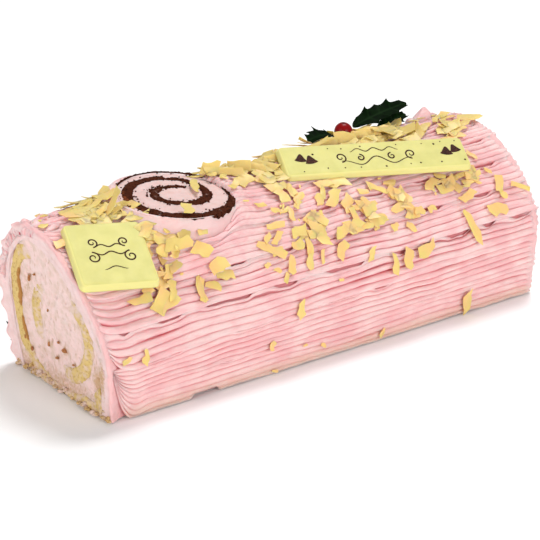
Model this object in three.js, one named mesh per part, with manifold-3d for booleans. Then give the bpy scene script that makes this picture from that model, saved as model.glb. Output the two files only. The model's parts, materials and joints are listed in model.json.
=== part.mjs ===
// A yule log cake: a sponge roll under piped buttercream, with a slice of chocolate
// roll as its cut branch, two white-chocolate plaques, a holly sprig and shavings.
//
// Millimetres, +Z up. The cake rests on z = 0 with the origin under the middle of
// its box. +X runs along the log away from the cut end that leans out, and -Y is
// the front, where the plaques face.
//
// Inside the group "log", x is measured from the foot of the leaning end, y from the
// middle of the section's foot, and z from the surface that the cake rests on.

import * as THREE from 'three';
import { mergeVertices } from 'three/addons/utils/BufferGeometryUtils.js';
import Module from 'manifold-3d';

const wasm = await Module();
wasm.setup();

// ---------------------------------------------------------------- driving sizes

const FOOT_X = -127.306; // where the foot of the leaning end stands
const MID_Y = 0.862; // where the middle of the foot stands

const LOG_LENGTH = 260;
const LOG_WIDTH = 93;
const LOG_HEIGHT = 84;
const LEAN = 0.1; // how far the first end leans out, per unit of height
const CROWN_SHIFT = 12; // the crown sits this far behind the middle
const FOOT_SHARE = 0.92; // width of the foot, as a share of the full width
const WAIST_HEIGHT = [34, 42]; // height of the widest line, at each end of the log
const ROUNDNESS = [1.85, 2.0]; // exponent of the arch, at each end of the log

const GAP = 0.3; // clearance between neighbouring pieces
const COAT_THICKNESS = 8;
const RIBBONS = 14; // piped ribbons, side by side round the arch
const RIDGES = 5; // ridges on each ribbon
const RIDGE_DEPTH = 1.1;
const SEAM_DEPTH = 2.2; // groove between two ribbons
const COAT_STATIONS = [0, 5, 14, 95, 180, 260];
const HOOK = { from: 0.02, to: 0.2, rise: 6, length: 5 }; // where ridges start high, round the arch
const RAGGED = { depth: 1.6, lump: 1, lumps: [36, 50], spike: 5.5, spikeRidge: 15 };

const CORE_CENTRE = [1.5, 38]; // middle of the roll, y and z
const CORE_SPIRAL = {
  start: 120, // clock angle of the outer end, seen from the leaning end
  turns: 1.7,
  // Clock angle and radius of the strip's middle, from its outer end inwards.
  course: [
    [120, 47], [128, 45.5], [144, 42], [173, 37.5], [192, 37.8], [211, 38.5], [226, 37], [235, 35.2],
    [245, 33], [259, 31.3], [280, 30.2], [295, 31.6], [308, 33.5], [323, 35.2], [345, 31], [375, 25],
    [395, 22], [407, 23.7], [419, 26], [435, 29.6], [441, 31.2], [458, 32], [481, 30.6], [495, 29.5],
    [508, 28.1], [531, 25.3], [551, 23.2], [568, 20.5], [586, 17], [612, 14.6], [643, 13.4], [693, 14],
    [732, 12.5],
  ],
  hugs: 215, // up to this clock angle it lies against the lining
  thickness: 8.6,
  drift: [0, 0],
  steps: 28, // in one turn
};
const FACE_RECESS = 0.7; // the filling lies this deep in the cut faces

const STUB = {
  centre: [64.9, 0.75, 85],
  lean: [0.065, -0.073],
  radius: 29.6,
  height: 16,
  skirt: 1.8, // thickness of the cream round its side
  floor: 5, // coat that stays below the slice, measured from the coat's crest
};
const STUB_SPIRAL = {
  start: 130, // clock angle of the outer end, seen from above
  turns: 1.9,
  outer: 0.98,
  pitch: 0.35,
  thickness: 5.2,
  drift: [2.7, 3.6], // the inner turns sit this far off the middle
  steps: 20,
};

const SQUARE_PLAQUE = {
  place: [14.54, -23.56, 74.87],
  turn: [29, 6, -16],
  size: [36.8, 36.8],
  thickness: 3.4,
  draft: 0.6,
};
const LONG_PLAQUE = {
  place: [177.2, -12.9, 84.45],
  turn: [30, 4.3, -18],
  size: [99, 19],
  thickness: 3.2,
  draft: 0.8,
};
const PLAQUE_EDGE = 0.9; // rounding of a plaque's upper edge
const PLAQUE_CORNER = 2.2; // radius of a plaque's corners

const BERRY_DIAMETER = 9.4;
const BERRY_PLACE = [180.8, 17.8, 88.4];
const LEAF_THICKNESS = 0.6;
const LEAF_SPINES = 4; // on each side
const LEAVES = [
  {
    name: 'holly_leaf_large',
    from: [188.5, 20.5, 86.6],
    to: [224.6, 21.6, 95.4],
    width: 18,
    tilt: -24,
    arch: 2.5,
  },
  {
    name: 'holly_leaf_left',
    from: [176.2, 20.6, 86],
    to: [158.6, 18.4, 87.6],
    width: 13,
    tilt: 10,
    arch: 1.5,
  },
  {
    name: 'holly_leaf_right',
    from: [206, 26, 83.8],
    to: [228.5, 27.4, 88.8],
    width: 11,
    tilt: -14,
    arch: 1.2,
  },
];

// Chocolate shavings at least as large as the berry: distance along the log,
// distance round the arch from the front foot, length, width, turn in degrees,
// and lift above the coat.
const SHAVING_THICKNESS = 0.8;
const SHAVINGS = [
  [25, 57.5, 13, 6, -4, 0],
  [37.5, 53.5, 12, 8.5, 12, 0],
  [41.5, 63.5, 9, 6, 68, 0],
  [45, 77, 13, 8.5, 96, 0.3],
  [61, 68, 13, 8.5, -14, 0],
  [71.5, 59.5, 9.5, 8, -30, 0],
  [56.5, 54.5, 12.5, 4, 92, 0],
  [63.5, 55, 8.5, 6, -28, 0],
  [100.5, 64, 16, 6.5, -36, 0],
  [107, 54.5, 9, 6, 62, 0],
  [107, 32, 8.5, 5.5, 100, 0],
  [118.5, 68, 9, 8, 8, 0],
  [128.5, 67, 14, 4.2, -64, 0],
  [140.5, 62.5, 9, 7, 20, 0],
  [137.5, 54, 9.5, 6.5, 34, 0],
  [151, 67, 13, 5, 82, 0],
  [163, 64, 8.5, 7.5, 10, 0],
  [177, 67.5, 8.5, 6, 24, 0],
  [219.5, 64, 10.5, 5.5, 22, 0],
  [216, 48, 21, 6, -72, 0],
  [234, 52.5, 12.5, 8.5, -6, 0],
  [241, 66, 9, 5.5, 66, 0],
  [252.5, 61.5, 11.5, 3.6, -28, 0],
  [184.5, 44, 10.5, 7.5, 6, 0.2],
  [173, 42, 10, 7, 74, 0],
  [164.5, 41, 10.5, 4.6, 84, 0],
  [213.5, 7.5, 11, 7.5, 100, 0],
  [108, 106, 12.5, 6.5, 12, 0],
  [120.5, 101, 11, 8, -52, 0],
  [121.5, 90, 9.5, 7, 86, 0],
  [146, 81, 12, 6.5, 44, 0.2],
  [146.5, 90.2, 9, 5.5, -4, 0],
  [172.5, 79.5, 12, 5.5, -34, 0],
  [202, 74.5, 10, 7.5, 14, 0],
  [222, 75, 13, 3.4, 6, 0],
  [255, 113, 14, 9.5, -12, 0.2],
  [23, 112, 15, 10, 8, 0.3],
  [104, 120, 15, 9, 10, 0.3],
  [120, 114, 13, 8, -18, 0.2],
  [134, 120, 14, 9, 24, 0.4],
  [151, 111.5, 11, 7.5, -10, 0.3],
  [241, 105, 12, 7, 14, 0],
];
// Shavings that lie on the branch or lean on its side: place, length, width, and
// turns in degrees about x, y and z.
const PROPPED_SHAVINGS = [
  [[57.2, -23.2, 86.2], 11, 7.5, [-2, -4, 70]],
  [[77.5, 1.0, 85.6], 15, 4.5, [-2, -4, 62]],
  [[46.5, -31.4, 74.0], 12, 8, [68, 0, -38]],
  [[30.0, -2.0, 90.0], 13, 8, [10, -62, -20]],
];

// ---------------------------------------------------------------- finishes

const FINISH = {
  buttercream: { color: '#f7c3c8', roughness: 0.55 },
  sponge: { color: '#d6aa5c', roughness: 0.95 },
  filling: { color: '#f1dad8', roughness: 0.6 },
  chocolateSponge: { color: '#2c120a', roughness: 0.95 },
  whiteChocolate: { color: '#efe59a', roughness: 0.35 },
  shaving: { color: '#f3dc8c', roughness: 0.45 },
  holly: { color: '#0a2a14', roughness: 0.3 },
  berry: { color: '#9c0d1c', roughness: 0.15 },
};
const materials = {};
for (const [name, look] of Object.entries(FINISH)) {
  materials[name] = new THREE.MeshStandardMaterial({ ...look, metalness: 0 });
}

// ---------------------------------------------------------------- small helpers

const { lerp, clamp, degToRad } = THREE.MathUtils;

// A repeatable random number from 0 to 1 for a whole number.
function scatter(index, salt) {
  const value = Math.sin(index * 127.1 + salt * 311.7) * 43758.5453;
  return value - Math.floor(value);
}

function signedPower(base, exponent) {
  return Math.sign(base) * Math.abs(base) ** exponent;
}

// Turns a list of triangles, given as points, into a closed geometry that faces out.
function closedGeometry(triangles) {
  let volume = 0;
  for (const [a, b, c] of triangles) {
    volume += a.dot(b.clone().cross(c));
  }
  const positions = [];
  for (const [a, b, c] of triangles) {
    const ordered = volume > 0 ? [a, b, c] : [a, c, b];
    for (const point of ordered) {
      positions.push(point.x, point.y, point.z);
    }
  }
  const geometry = new THREE.BufferGeometry();
  geometry.setAttribute('position', new THREE.Float32BufferAttribute(positions, 3));
  return mergeVertices(geometry, 1e-5);
}

// The two triangles of a four-sided patch.
function quad(a, b, c, d) {
  return [[a, b, c], [a, c, d]];
}

// Twice the area of a flat triangle, positive when it runs anticlockwise.
function turnOf([a, b, c]) {
  return (b.x - a.x) * (c.y - a.y) - (b.y - a.y) * (c.x - a.x);
}

// A solid through a row of rings with equal counts, closed by flat or ragged caps.
// flatten gives the two numbers by which a ring's cap is divided into triangles.
function loft(rings, flatten) {
  const triangles = [];
  const count = rings[0].length;
  for (let j = 0; j + 1 < rings.length; j += 1) {
    for (let i = 0; i < count; i += 1) {
      const next = (i + 1) % count;
      triangles.push(...quad(rings[j][i], rings[j][next], rings[j + 1][next], rings[j + 1][i]));
    }
  }
  for (const [ring, isFirst] of [[rings[0], true], [rings.at(-1), false]]) {
    const outline = ring.map((point) => new THREE.Vector2(...flatten(point)));
    const faces = THREE.ShapeUtils.triangulateShape(outline, []);
    const turns = faces.map((face) => turnOf(face.map((index) => outline[index])));
    const facesTurn = turns.reduce((sum, turn) => sum + turn, 0);
    const sameWay = Math.sign(facesTurn) === Math.sign(THREE.ShapeUtils.area(outline));
    for (const [a, b, c] of faces) {
      triangles.push(sameWay === isFirst ? [ring[a], ring[c], ring[b]] : [ring[a], ring[b], ring[c]]);
    }
  }
  return closedGeometry(triangles);
}

// A plate between an upper and a lower surface, each a function of u and v in 0..1.
function plate(upper, lower, columns, rows) {
  const grid = (surface) => {
    const points = [];
    for (let i = 0; i <= columns; i += 1) {
      points.push([]);
      for (let j = 0; j <= rows; j += 1) {
        points[i].push(surface(i / columns, j / rows));
      }
    }
    return points;
  };
  const top = grid(upper);
  const bottom = grid(lower);
  const triangles = [];
  for (let i = 0; i < columns; i += 1) {
    for (let j = 0; j < rows; j += 1) {
      triangles.push(...quad(top[i][j], top[i + 1][j], top[i + 1][j + 1], top[i][j + 1]));
      triangles.push(...quad(bottom[i][j], bottom[i][j + 1], bottom[i + 1][j + 1], bottom[i + 1][j]));
    }
    triangles.push(...quad(bottom[i][0], bottom[i + 1][0], top[i + 1][0], top[i][0]));
    triangles.push(...quad(top[i][rows], top[i + 1][rows], bottom[i + 1][rows], bottom[i][rows]));
  }
  for (let j = 0; j < rows; j += 1) {
    triangles.push(...quad(top[0][j], top[0][j + 1], bottom[0][j + 1], bottom[0][j]));
    triangles.push(...quad(bottom[columns][j], bottom[columns][j + 1], top[columns][j + 1], top[columns][j]));
  }
  return closedGeometry(triangles);
}

function toManifold(geometry) {
  const merged = geometry.clone();
  merged.deleteAttribute('normal');
  merged.deleteAttribute('uv');
  const closed = mergeVertices(merged, 1e-5);
  return new wasm.Manifold(new wasm.Mesh({
    numProp: 3,
    vertProperties: new Float32Array(closed.attributes.position.array),
    triVerts: new Uint32Array(closed.index.array),
  }));
}

// The largest body of a cut solid, without the slivers that a cut can leave.
function fromManifold(solid) {
  const bodies = solid.decompose().sort((a, b) => b.volume() - a.volume());
  const mesh = bodies[0].getMesh();
  const geometry = new THREE.BufferGeometry();
  geometry.setAttribute('position', new THREE.BufferAttribute(mesh.vertProperties, 3));
  geometry.setIndex(new THREE.BufferAttribute(mesh.triVerts, 1));
  return geometry;
}

// ---------------------------------------------------------------- the section

// The arch of the log at a share of its length: a superellipse above the waist,
// shifted back at the crown, on sides that draw in a little towards the foot.
class Arch {
  constructor(share) {
    const waist = lerp(WAIST_HEIGHT[0], WAIST_HEIGHT[1], share);
    const power = 2 / lerp(ROUNDNESS[0], ROUNDNESS[1], share);
    const half = LOG_WIDTH / 2;
    const sideSteps = 40;
    const archSteps = 240;
    const side = [];
    for (let k = 0; k < sideSteps; k += 1) {
      const rise = k / sideSteps;
      side.push([half * lerp(FOOT_SHARE, 1, Math.sin((rise * Math.PI) / 2)), waist * rise]);
    }
    this.points = side.map(([y, z]) => [-y, z]);
    for (let k = 0; k <= archSteps; k += 1) {
      const angle = (Math.PI * k) / archSteps;
      const rise = signedPower(Math.sin(angle), power);
      const across = -half * signedPower(Math.cos(angle), power);
      this.points.push([across + CROWN_SHIFT * rise, lerp(waist, LOG_HEIGHT, rise)]);
    }
    this.points.push(...side.reverse());
    this.reach = [0];
    for (let k = 1; k < this.points.length; k += 1) {
      const [y0, z0] = this.points[k - 1];
      const [y1, z1] = this.points[k];
      this.reach.push(this.reach[k - 1] + Math.hypot(y1 - y0, z1 - z0));
    }
    this.length = this.reach.at(-1);
  }

  // The point at a distance round the arch, moved out along the normal.
  at(distance, out = 0) {
    const wanted = clamp(distance, 0, this.length);
    let k = 1;
    while (k < this.reach.length - 1 && this.reach[k] < wanted) {
      k += 1;
    }
    const [y0, z0] = this.points[k - 1];
    const [y1, z1] = this.points[k];
    const step = this.reach[k] - this.reach[k - 1];
    const part = (wanted - this.reach[k - 1]) / step;
    const normal = [-(z1 - z0) / step, (y1 - y0) / step];
    return {
      y: lerp(y0, y1, part) + normal[0] * out,
      z: Math.max(0, lerp(z0, z1, part) + normal[1] * out),
      normal,
    };
  }

  // The arch moved in by a distance, as an open row of points from foot to foot.
  inset(distance, steps) {
    const row = [];
    for (let k = 0; k <= steps; k += 1) {
      const point = this.at((this.length * k) / steps, -distance);
      row.push([point.y, k === 0 || k === steps ? 0 : point.z]);
    }
    return row;
  }
}

// The first end leans out with height, and the lean fades along the log.
function along(x, z) {
  return x - LEAN * z * (1 - x / LOG_LENGTH);
}

// ---------------------------------------------------------------- rolled strips

// The outline of a rolled strip, out along one face and back along the other.
// reachAt gives the radius of the round it is rolled into at a clock angle, and
// pointAt turns a clock angle and a radius into a point. grow widens the strip.
function rolledStrip(spiral, reachAt, pointAt, grow = 0) {
  const steps = Math.round(spiral.turns * spiral.steps);
  const half = spiral.thickness / 2;
  const faces = { outer: [], inner: [] };
  for (let k = 0; k <= steps; k += 1) {
    const turn = (spiral.turns * k) / steps;
    const clock = degToRad(spiral.start + 360 * turn);
    const middle = spiral.course
      ? followCourse(spiral, spiral.start + 360 * turn, reachAt(clock) - half + 0.3)
      : reachAt(clock) * (spiral.outer - spiral.pitch * turn);
    const tail = Math.min(1, 0.3 + 0.2 * (steps - k));
    const slide = turn / spiral.turns;
    for (const [face, side] of [['outer', 1], ['inner', -1]]) {
      const [a, b] = pointAt(clock, middle + side * (half * tail + grow));
      faces[face].push([a + spiral.drift[0] * slide, b + spiral.drift[1] * slide]);
    }
  }
  if (grow > 0) {
    for (const face of Object.values(faces)) {
      face.unshift(beyond(face[1], face[0], grow));
      face.push(beyond(face.at(-2), face.at(-1), grow));
    }
  }
  return [...faces.outer, ...faces.inner.reverse()];
}

// The radius of a strip with a course: straight between its stations, and pushed
// out to the lining where the strip hugs it.
function followCourse({ course, hugs }, clock, atLining) {
  const next = Math.max(1, course.findIndex(([station]) => station >= clock - 1e-6));
  const [[fromClock, fromRadius], [toClock, toRadius]] = [course[next - 1], course[next]];
  const radius = fromRadius + ((toRadius - fromRadius) * (clock - fromClock)) / (toClock - fromClock);
  const hug = clamp((hugs - clock) / 15, 0, 1);
  return radius + hug * Math.max(0, atLining - radius);
}

// The point a distance past b on the line from a.
function beyond([ax, ay], [bx, by], distance) {
  const share = distance / Math.hypot(bx - ax, by - ay);
  return [bx + (bx - ax) * share, by + (by - ay) * share];
}

const flattenYZ = (point) => [point.y, point.z];
const flattenXY = (point) => [point.x, point.y];

// The line between coat and core, moved in by a clearance: the same all along.
function lining(clearance) {
  return new Arch(0.5).inset(COAT_THICKNESS + clearance, 64);
}

// The strip rolled into the core, as an outline in y and z.
function coreStrip(grow) {
  const boundary = lining(GAP);
  const [middleY, middleZ] = CORE_CENTRE;
  const reachAt = (clock) => {
    const [dy, dz] = [-Math.sin(clock), Math.cos(clock)];
    let reach = Infinity;
    for (let k = 0; k < boundary.length; k += 1) {
      const [ay, az] = boundary[k];
      const [by, bz] = boundary[(k + 1) % boundary.length];
      const cross = dy * (bz - az) - dz * (by - ay);
      const ray = ((ay - middleY) * (bz - az) - (az - middleZ) * (by - ay)) / cross;
      const part = ((ay - middleY) * dz - (az - middleZ) * dy) / cross;
      if (ray > 0 && part >= 0 && part <= 1) {
        reach = Math.min(reach, ray);
      }
    }
    return reach;
  };
  const pointAt = (clock, radius) => [middleY - Math.sin(clock) * radius, middleZ + Math.cos(clock) * radius];
  return rolledStrip(CORE_SPIRAL, reachAt, pointAt, grow);
}

// A solid along the log with one outline, run past its ends or stopped short of them.
function runAlong(outline, past) {
  const ring = (x) => outline.map(([y, z]) => new THREE.Vector3(along(x, z), y, z));
  return toManifold(loft([ring(-past), ring(LOG_LENGTH + past)], flattenYZ));
}

function spongeSpiral() {
  return fromManifold(runAlong(coreStrip(0), 0).intersect(runAlong(lining(GAP), 1)));
}

function fillingSpiral() {
  return fromManifold(runAlong(lining(GAP), -FACE_RECESS).subtract(runAlong(coreStrip(GAP), 1)));
}

// ---------------------------------------------------------------- the coat

// How far the ridges wander round the arch: slow waves, and a hook at the leaning
// end, where the front ribbons start high and sweep down before they run along.
function wander(share, x) {
  const free = Math.min(1, 8 * share, 8 * (1 - share));
  const waves = 1.2 * Math.sin(x / 37 + 9 * share) + 0.7 * Math.sin(x / 17 + 23 * share);
  const inHook = clamp((share - HOOK.from) / (HOOK.to - HOOK.from), 0, 1);
  const hook = HOOK.rise * Math.sin(Math.PI * inHook) * Math.exp(-x / HOOK.length);
  return free * waves + hook;
}

// How far a ridge runs past the flat end of the log: unevenly, with lumps over the
// crown of the leaning end and one thread pulled out of the far end.
function raggedReach(ridge, atFarEnd) {
  if (atFarEnd && ridge === RAGGED.spikeRidge) {
    return RAGGED.spike;
  }
  const isLump = !atFarEnd && ridge > RAGGED.lumps[0] && ridge < RAGGED.lumps[1];
  return RAGGED.depth * scatter(ridge, 3) + (isLump ? RAGGED.lump : 0);
}

function coatRing(x, isFirst, isLast) {
  const arch = new Arch(x / LOG_LENGTH);
  const ridgeCount = RIBBONS * RIDGES;
  const ring = [];
  for (let k = 0; k <= 2 * ridgeCount; k += 1) {
    const share = k / (2 * ridgeCount);
    const ridge = Math.floor(k / 2);
    const isCrest = k % 2 === 1;
    const inRibbon = ridge % RIDGES;
    const middle = (RIDGES - 1) / 2;
    const crown = 0.35 * Math.abs(inRibbon - middle) * scatter(ridge, 5);
    const groove = inRibbon === 0 ? SEAM_DEPTH : RIDGE_DEPTH;
    const depth = isCrest ? crown : groove;
    const point = arch.at(share * arch.length + wander(share, x), -depth);
    const z = k === 0 || k === 2 * ridgeCount ? 0 : point.z;
    let reach = 0;
    if (isCrest && isFirst) {
      reach = -raggedReach(ridge, false);
    } else if (isCrest && isLast) {
      reach = raggedReach(ridge, true);
    }
    ring.push(new THREE.Vector3(along(x, z) + reach, point.y, z));
  }
  for (const [y, z] of lining(0).reverse()) {
    ring.push(new THREE.Vector3(along(x, z), y, z));
  }
  return ring;
}

function buttercreamCoat() {
  const last = COAT_STATIONS.length - 1;
  const rings = COAT_STATIONS.map((x, k) => coatRing(x, k === 0, k === last));
  return loft(rings, flattenYZ);
}

// The space inside the coat's crest line, moved in by a distance, over a stretch.
function archSolid(from, to, inset) {
  const rings = [from, to].map((x) => {
    const row = new Arch(x / LOG_LENGTH).inset(inset, 30);
    return row.map(([y, z]) => new THREE.Vector3(x, y, z));
  });
  return loft(rings, flattenYZ);
}

// ---------------------------------------------------------------- the cut branch

const stubFrame = new THREE.Matrix4().compose(
  new THREE.Vector3(...STUB.centre),
  new THREE.Quaternion().setFromUnitVectors(
    new THREE.Vector3(0, 0, 1),
    new THREE.Vector3(...STUB.lean, 1).normalize(),
  ),
  new THREE.Vector3(1, 1, 1),
);

// A prism of the branch, from a depth below its face up to a height above it.
function stubPrism(outline, depth, height) {
  const ring = (z) => outline.map(([x, y]) => new THREE.Vector3(x, y, z));
  const geometry = loft([ring(-depth), ring(height)], flattenXY);
  return toManifold(geometry.applyMatrix4(stubFrame));
}

function circle(radius, steps) {
  const outline = [];
  for (let k = 0; k < steps; k += 1) {
    const angle = (2 * Math.PI * k) / steps;
    outline.push([radius * Math.cos(angle), radius * Math.sin(angle)]);
  }
  return outline;
}

const stubReach = STUB.centre[0] - STUB.radius - 6;
const stubEnd = STUB.centre[0] + STUB.radius + 6;

// What carries the branch: the coat's floor below it.
function stubFloor(clearance) {
  return toManifold(archSolid(stubReach, stubEnd, STUB.floor - clearance));
}

// One region of the rolled slice: the strip, or what fills between its turns.
function stubPiece(region) {
  const radius = STUB.radius - STUB.skirt - GAP;
  const pointAt = (clock, reach) => [reach * Math.sin(clock), reach * Math.cos(clock)];
  const disc = stubPrism(circle(radius, 36), STUB.height, 0).subtract(stubFloor(GAP));
  const outline = (grow) => rolledStrip(STUB_SPIRAL, () => radius, pointAt, grow);
  if (region === 'strip') {
    return fromManifold(disc.intersect(stubPrism(outline(0), STUB.height + 1, 1)));
  }
  return fromManifold(disc.subtract(stubPrism(outline(GAP), STUB.height + 1, 1)));
}

function stubSkirt() {
  const lip = 0.8; // the skirt ends this far below the face
  const outside = stubPrism(circle(STUB.radius, 36), STUB.height, -lip);
  const inside = stubPrism(circle(STUB.radius - STUB.skirt, 36), STUB.height + 1, 1);
  return fromManifold(outside.subtract(inside).subtract(stubFloor(GAP)));
}

// The coat with the pocket in which the branch sits.
function pocketedCoat() {
  const well = stubPrism(circle(STUB.radius + GAP, 36), STUB.height + GAP, 20);
  const pocket = well.subtract(stubFloor(0));
  return fromManifold(toManifold(buttercreamCoat()).subtract(pocket));
}

// ---------------------------------------------------------------- the plaques

// A rectangle with rounded corners, at a height.
function roundedRing(length, width, corner, z) {
  const ring = [];
  const cornerSteps = 3;
  for (let quarter = 0; quarter < 4; quarter += 1) {
    const signX = quarter === 0 || quarter === 3 ? 1 : -1;
    const signY = quarter < 2 ? 1 : -1;
    for (let k = 0; k <= cornerSteps; k += 1) {
      const angle = (Math.PI / 2) * (quarter + k / cornerSteps);
      const x = signX * (length / 2 - corner) + corner * Math.cos(angle);
      const y = signY * (width / 2 - corner) + corner * Math.sin(angle);
      ring.push(new THREE.Vector3(x, y, z));
    }
  }
  return ring;
}

// A moulded plaque: its sides widen downwards and its upper edge is rounded.
function mouldedPlaque({ size: [length, width], thickness, draft }) {
  const layer = (grow, z) => roundedRing(length + 2 * grow, width + 2 * grow, PLAQUE_CORNER + grow, z);
  const shoulder = draft * 0.5;
  return loft(
    [layer(draft, -thickness), layer(shoulder, -PLAQUE_EDGE), layer(shoulder - 0.35, -0.3), layer(-0.3, 0)],
    flattenXY,
  );
}

// ---------------------------------------------------------------- the holly

// A holly leaf along +X: spines with hollow margins between them, folded along the
// midrib and arched from base to tip.
function hollyLeaf(length, width, arch) {
  const columns = 2 * LEAF_SPINES + 2;
  const surface = (lift) => (u, v) => {
    const side = 2 * v - 1;
    const full = (width / 2) * Math.sin(Math.PI * u ** 0.85) ** 0.6;
    const isSpine = Math.round(u * columns) % 2 === 1;
    const half = Math.max(0.4, full * (isSpine ? 1 : 0.58));
    const sweep = isSpine ? Math.abs(side) * 1.6 : 0;
    const fold = 0.22 * Math.abs(side) * half;
    const bow = arch * Math.sin(Math.PI * u);
    return new THREE.Vector3(u * length + sweep, side * half, fold + bow + lift);
  };
  return plate(surface(LEAF_THICKNESS / 2), surface(-LEAF_THICKNESS / 2), columns, 2);
}

function placedLeaf({ from, to, width, tilt, arch }) {
  const base = new THREE.Vector3(...from);
  const axis = new THREE.Vector3(...to).sub(base);
  const length = axis.length();
  const forward = axis.normalize();
  const sideways = new THREE.Vector3(0, 0, 1).cross(forward).normalize();
  const upward = forward.clone().cross(sideways);
  const turn = new THREE.Matrix4().makeBasis(forward, sideways, upward);
  turn.multiply(new THREE.Matrix4().makeRotationX(-degToRad(tilt)));
  turn.setPosition(base);
  return hollyLeaf(length, width, arch).applyMatrix4(turn);
}

// A round berry with a small dimple at its top.
function hollyBerry() {
  const radius = BERRY_DIAMETER / 2;
  const steps = 9;
  const profile = [];
  for (let k = 0; k <= steps; k += 1) {
    const angle = (Math.PI * k) / steps - Math.PI / 2;
    const dimple = k === steps ? 0.5 : 0;
    profile.push(new THREE.Vector2(Math.abs(radius * Math.cos(angle)), radius * Math.sin(angle) - dimple));
  }
  profile[0].x = 0;
  profile[steps].x = 0;
  const geometry = new THREE.LatheGeometry(profile, 14);
  geometry.deleteAttribute('normal');
  geometry.deleteAttribute('uv');
  return mergeVertices(geometry.rotateX(Math.PI / 2), 1e-4);
}

// ---------------------------------------------------------------- the shavings

// A thin shaving with uneven edges. Its ends curl up, and it sags a little over
// the arch that runs across it at the given turn.
function shaving(length, width, index, turn, sag) {
  const columns = 4;
  const curl = lerp(0.003, 0.01, scatter(index, 11));
  const [across, forward] = [Math.sin(degToRad(turn)), Math.cos(degToRad(turn))];
  const edge = (u, side) => {
    const column = Math.round(u * columns);
    const uneven = scatter(index * 11 + column, side > 0 ? 17 : 19);
    const endShare = column === 0 || column === columns ? 0.3 : 0.72;
    return (width / 2) * lerp(endShare, 1, uneven);
  };
  const surface = (lift) => (u, v) => {
    const side = 2 * v - 1;
    const x = (u - 0.5) * length;
    const y = side * edge(u, side);
    const round = x * across + y * forward;
    return new THREE.Vector3(x, y, curl * x * x - sag * round * round + lift);
  };
  return plate(surface(SHAVING_THICKNESS), surface(0), columns, 2);
}

// Lays a shaving on the coat, tangent to the arch, a clearance above its ridges.
function placedShaving([x, distance, length, width, turn, lift], index) {
  const arch = new Arch(x / LOG_LENGTH);
  const point = arch.at(distance, 2 * GAP + lift);
  const normal = new THREE.Vector3(0, ...point.normal);
  const forward = new THREE.Vector3(1, 0, 0);
  const sideways = normal.clone().cross(forward);
  const frame = new THREE.Matrix4().makeBasis(forward, sideways, normal);
  frame.multiply(new THREE.Matrix4().makeRotationZ(degToRad(turn)));
  frame.setPosition(along(x, point.z), point.y, point.z);
  const halfOfArch = 0.5 / LOG_WIDTH;
  return shaving(length, width, index, turn, halfOfArch).applyMatrix4(frame);
}

// ---------------------------------------------------------------- assembly

const cake = new THREE.Group();
cake.name = 'yule_log_cake';

function add(parent, name, geometry, finish) {
  const mesh = new THREE.Mesh(geometry, materials[finish]);
  mesh.name = name;
  parent.add(mesh);
  return mesh;
}

function addPlaque(parent, name, plaque) {
  const mesh = add(parent, name, mouldedPlaque(plaque), 'whiteChocolate');
  mesh.position.set(...plaque.place);
  const [tilt, pitch, yaw] = plaque.turn.map(degToRad);
  mesh.rotation.set(tilt, pitch, yaw, 'ZXY');
}

const log = new THREE.Group();
log.name = 'log';
log.position.set(FOOT_X, MID_Y, 0);
cake.add(log);

add(log, 'buttercream_coat', pocketedCoat(), 'buttercream');
add(log, 'sponge_spiral', spongeSpiral(), 'sponge');
add(log, 'filling_spiral', fillingSpiral(), 'filling');

add(log, 'branch_sponge', stubPiece('strip'), 'chocolateSponge');
add(log, 'branch_filling', stubPiece('filling'), 'filling');
add(log, 'branch_skirt', stubSkirt(), 'buttercream');

addPlaque(log, 'square_plaque', SQUARE_PLAQUE);
addPlaque(log, 'long_plaque', LONG_PLAQUE);

const berry = add(log, 'holly_berry', hollyBerry(), 'berry');
berry.position.set(...BERRY_PLACE);
for (const leaf of LEAVES) {
  add(log, leaf.name, placedLeaf(leaf), 'holly');
}

SHAVINGS.forEach((row, index) => {
  const number = String(index + 1).padStart(2, '0');
  add(log, `shaving_${number}`, placedShaving(row, index), 'shaving');
});
PROPPED_SHAVINGS.forEach(([place, length, width, turns], index) => {
  const flake = shaving(length, width, SHAVINGS.length + index, 0, 0);
  const mesh = add(log, `propped_shaving_${index + 1}`, flake, 'shaving');
  mesh.position.set(...place);
  mesh.rotation.set(...turns.map(degToRad), 'ZYX');
});

export default cake;
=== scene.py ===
"""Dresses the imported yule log: a sponge roll under ribbons of piped pink buttercream.

On it sit a slice of chocolate roll as the cut branch, two moulded plaques, a holly
sprig and white-chocolate shavings. Sizes are in millimetres, measured along the log
from the foot of its leaning end, and meshes are written in metres in the row frame.
"""

from __future__ import annotations

import json
import logging
import math
from collections.abc import Callable, Sequence
from dataclasses import dataclass, field
from enum import Enum

import bpy
import numpy as np
from mathutils import Matrix, Vector

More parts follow.
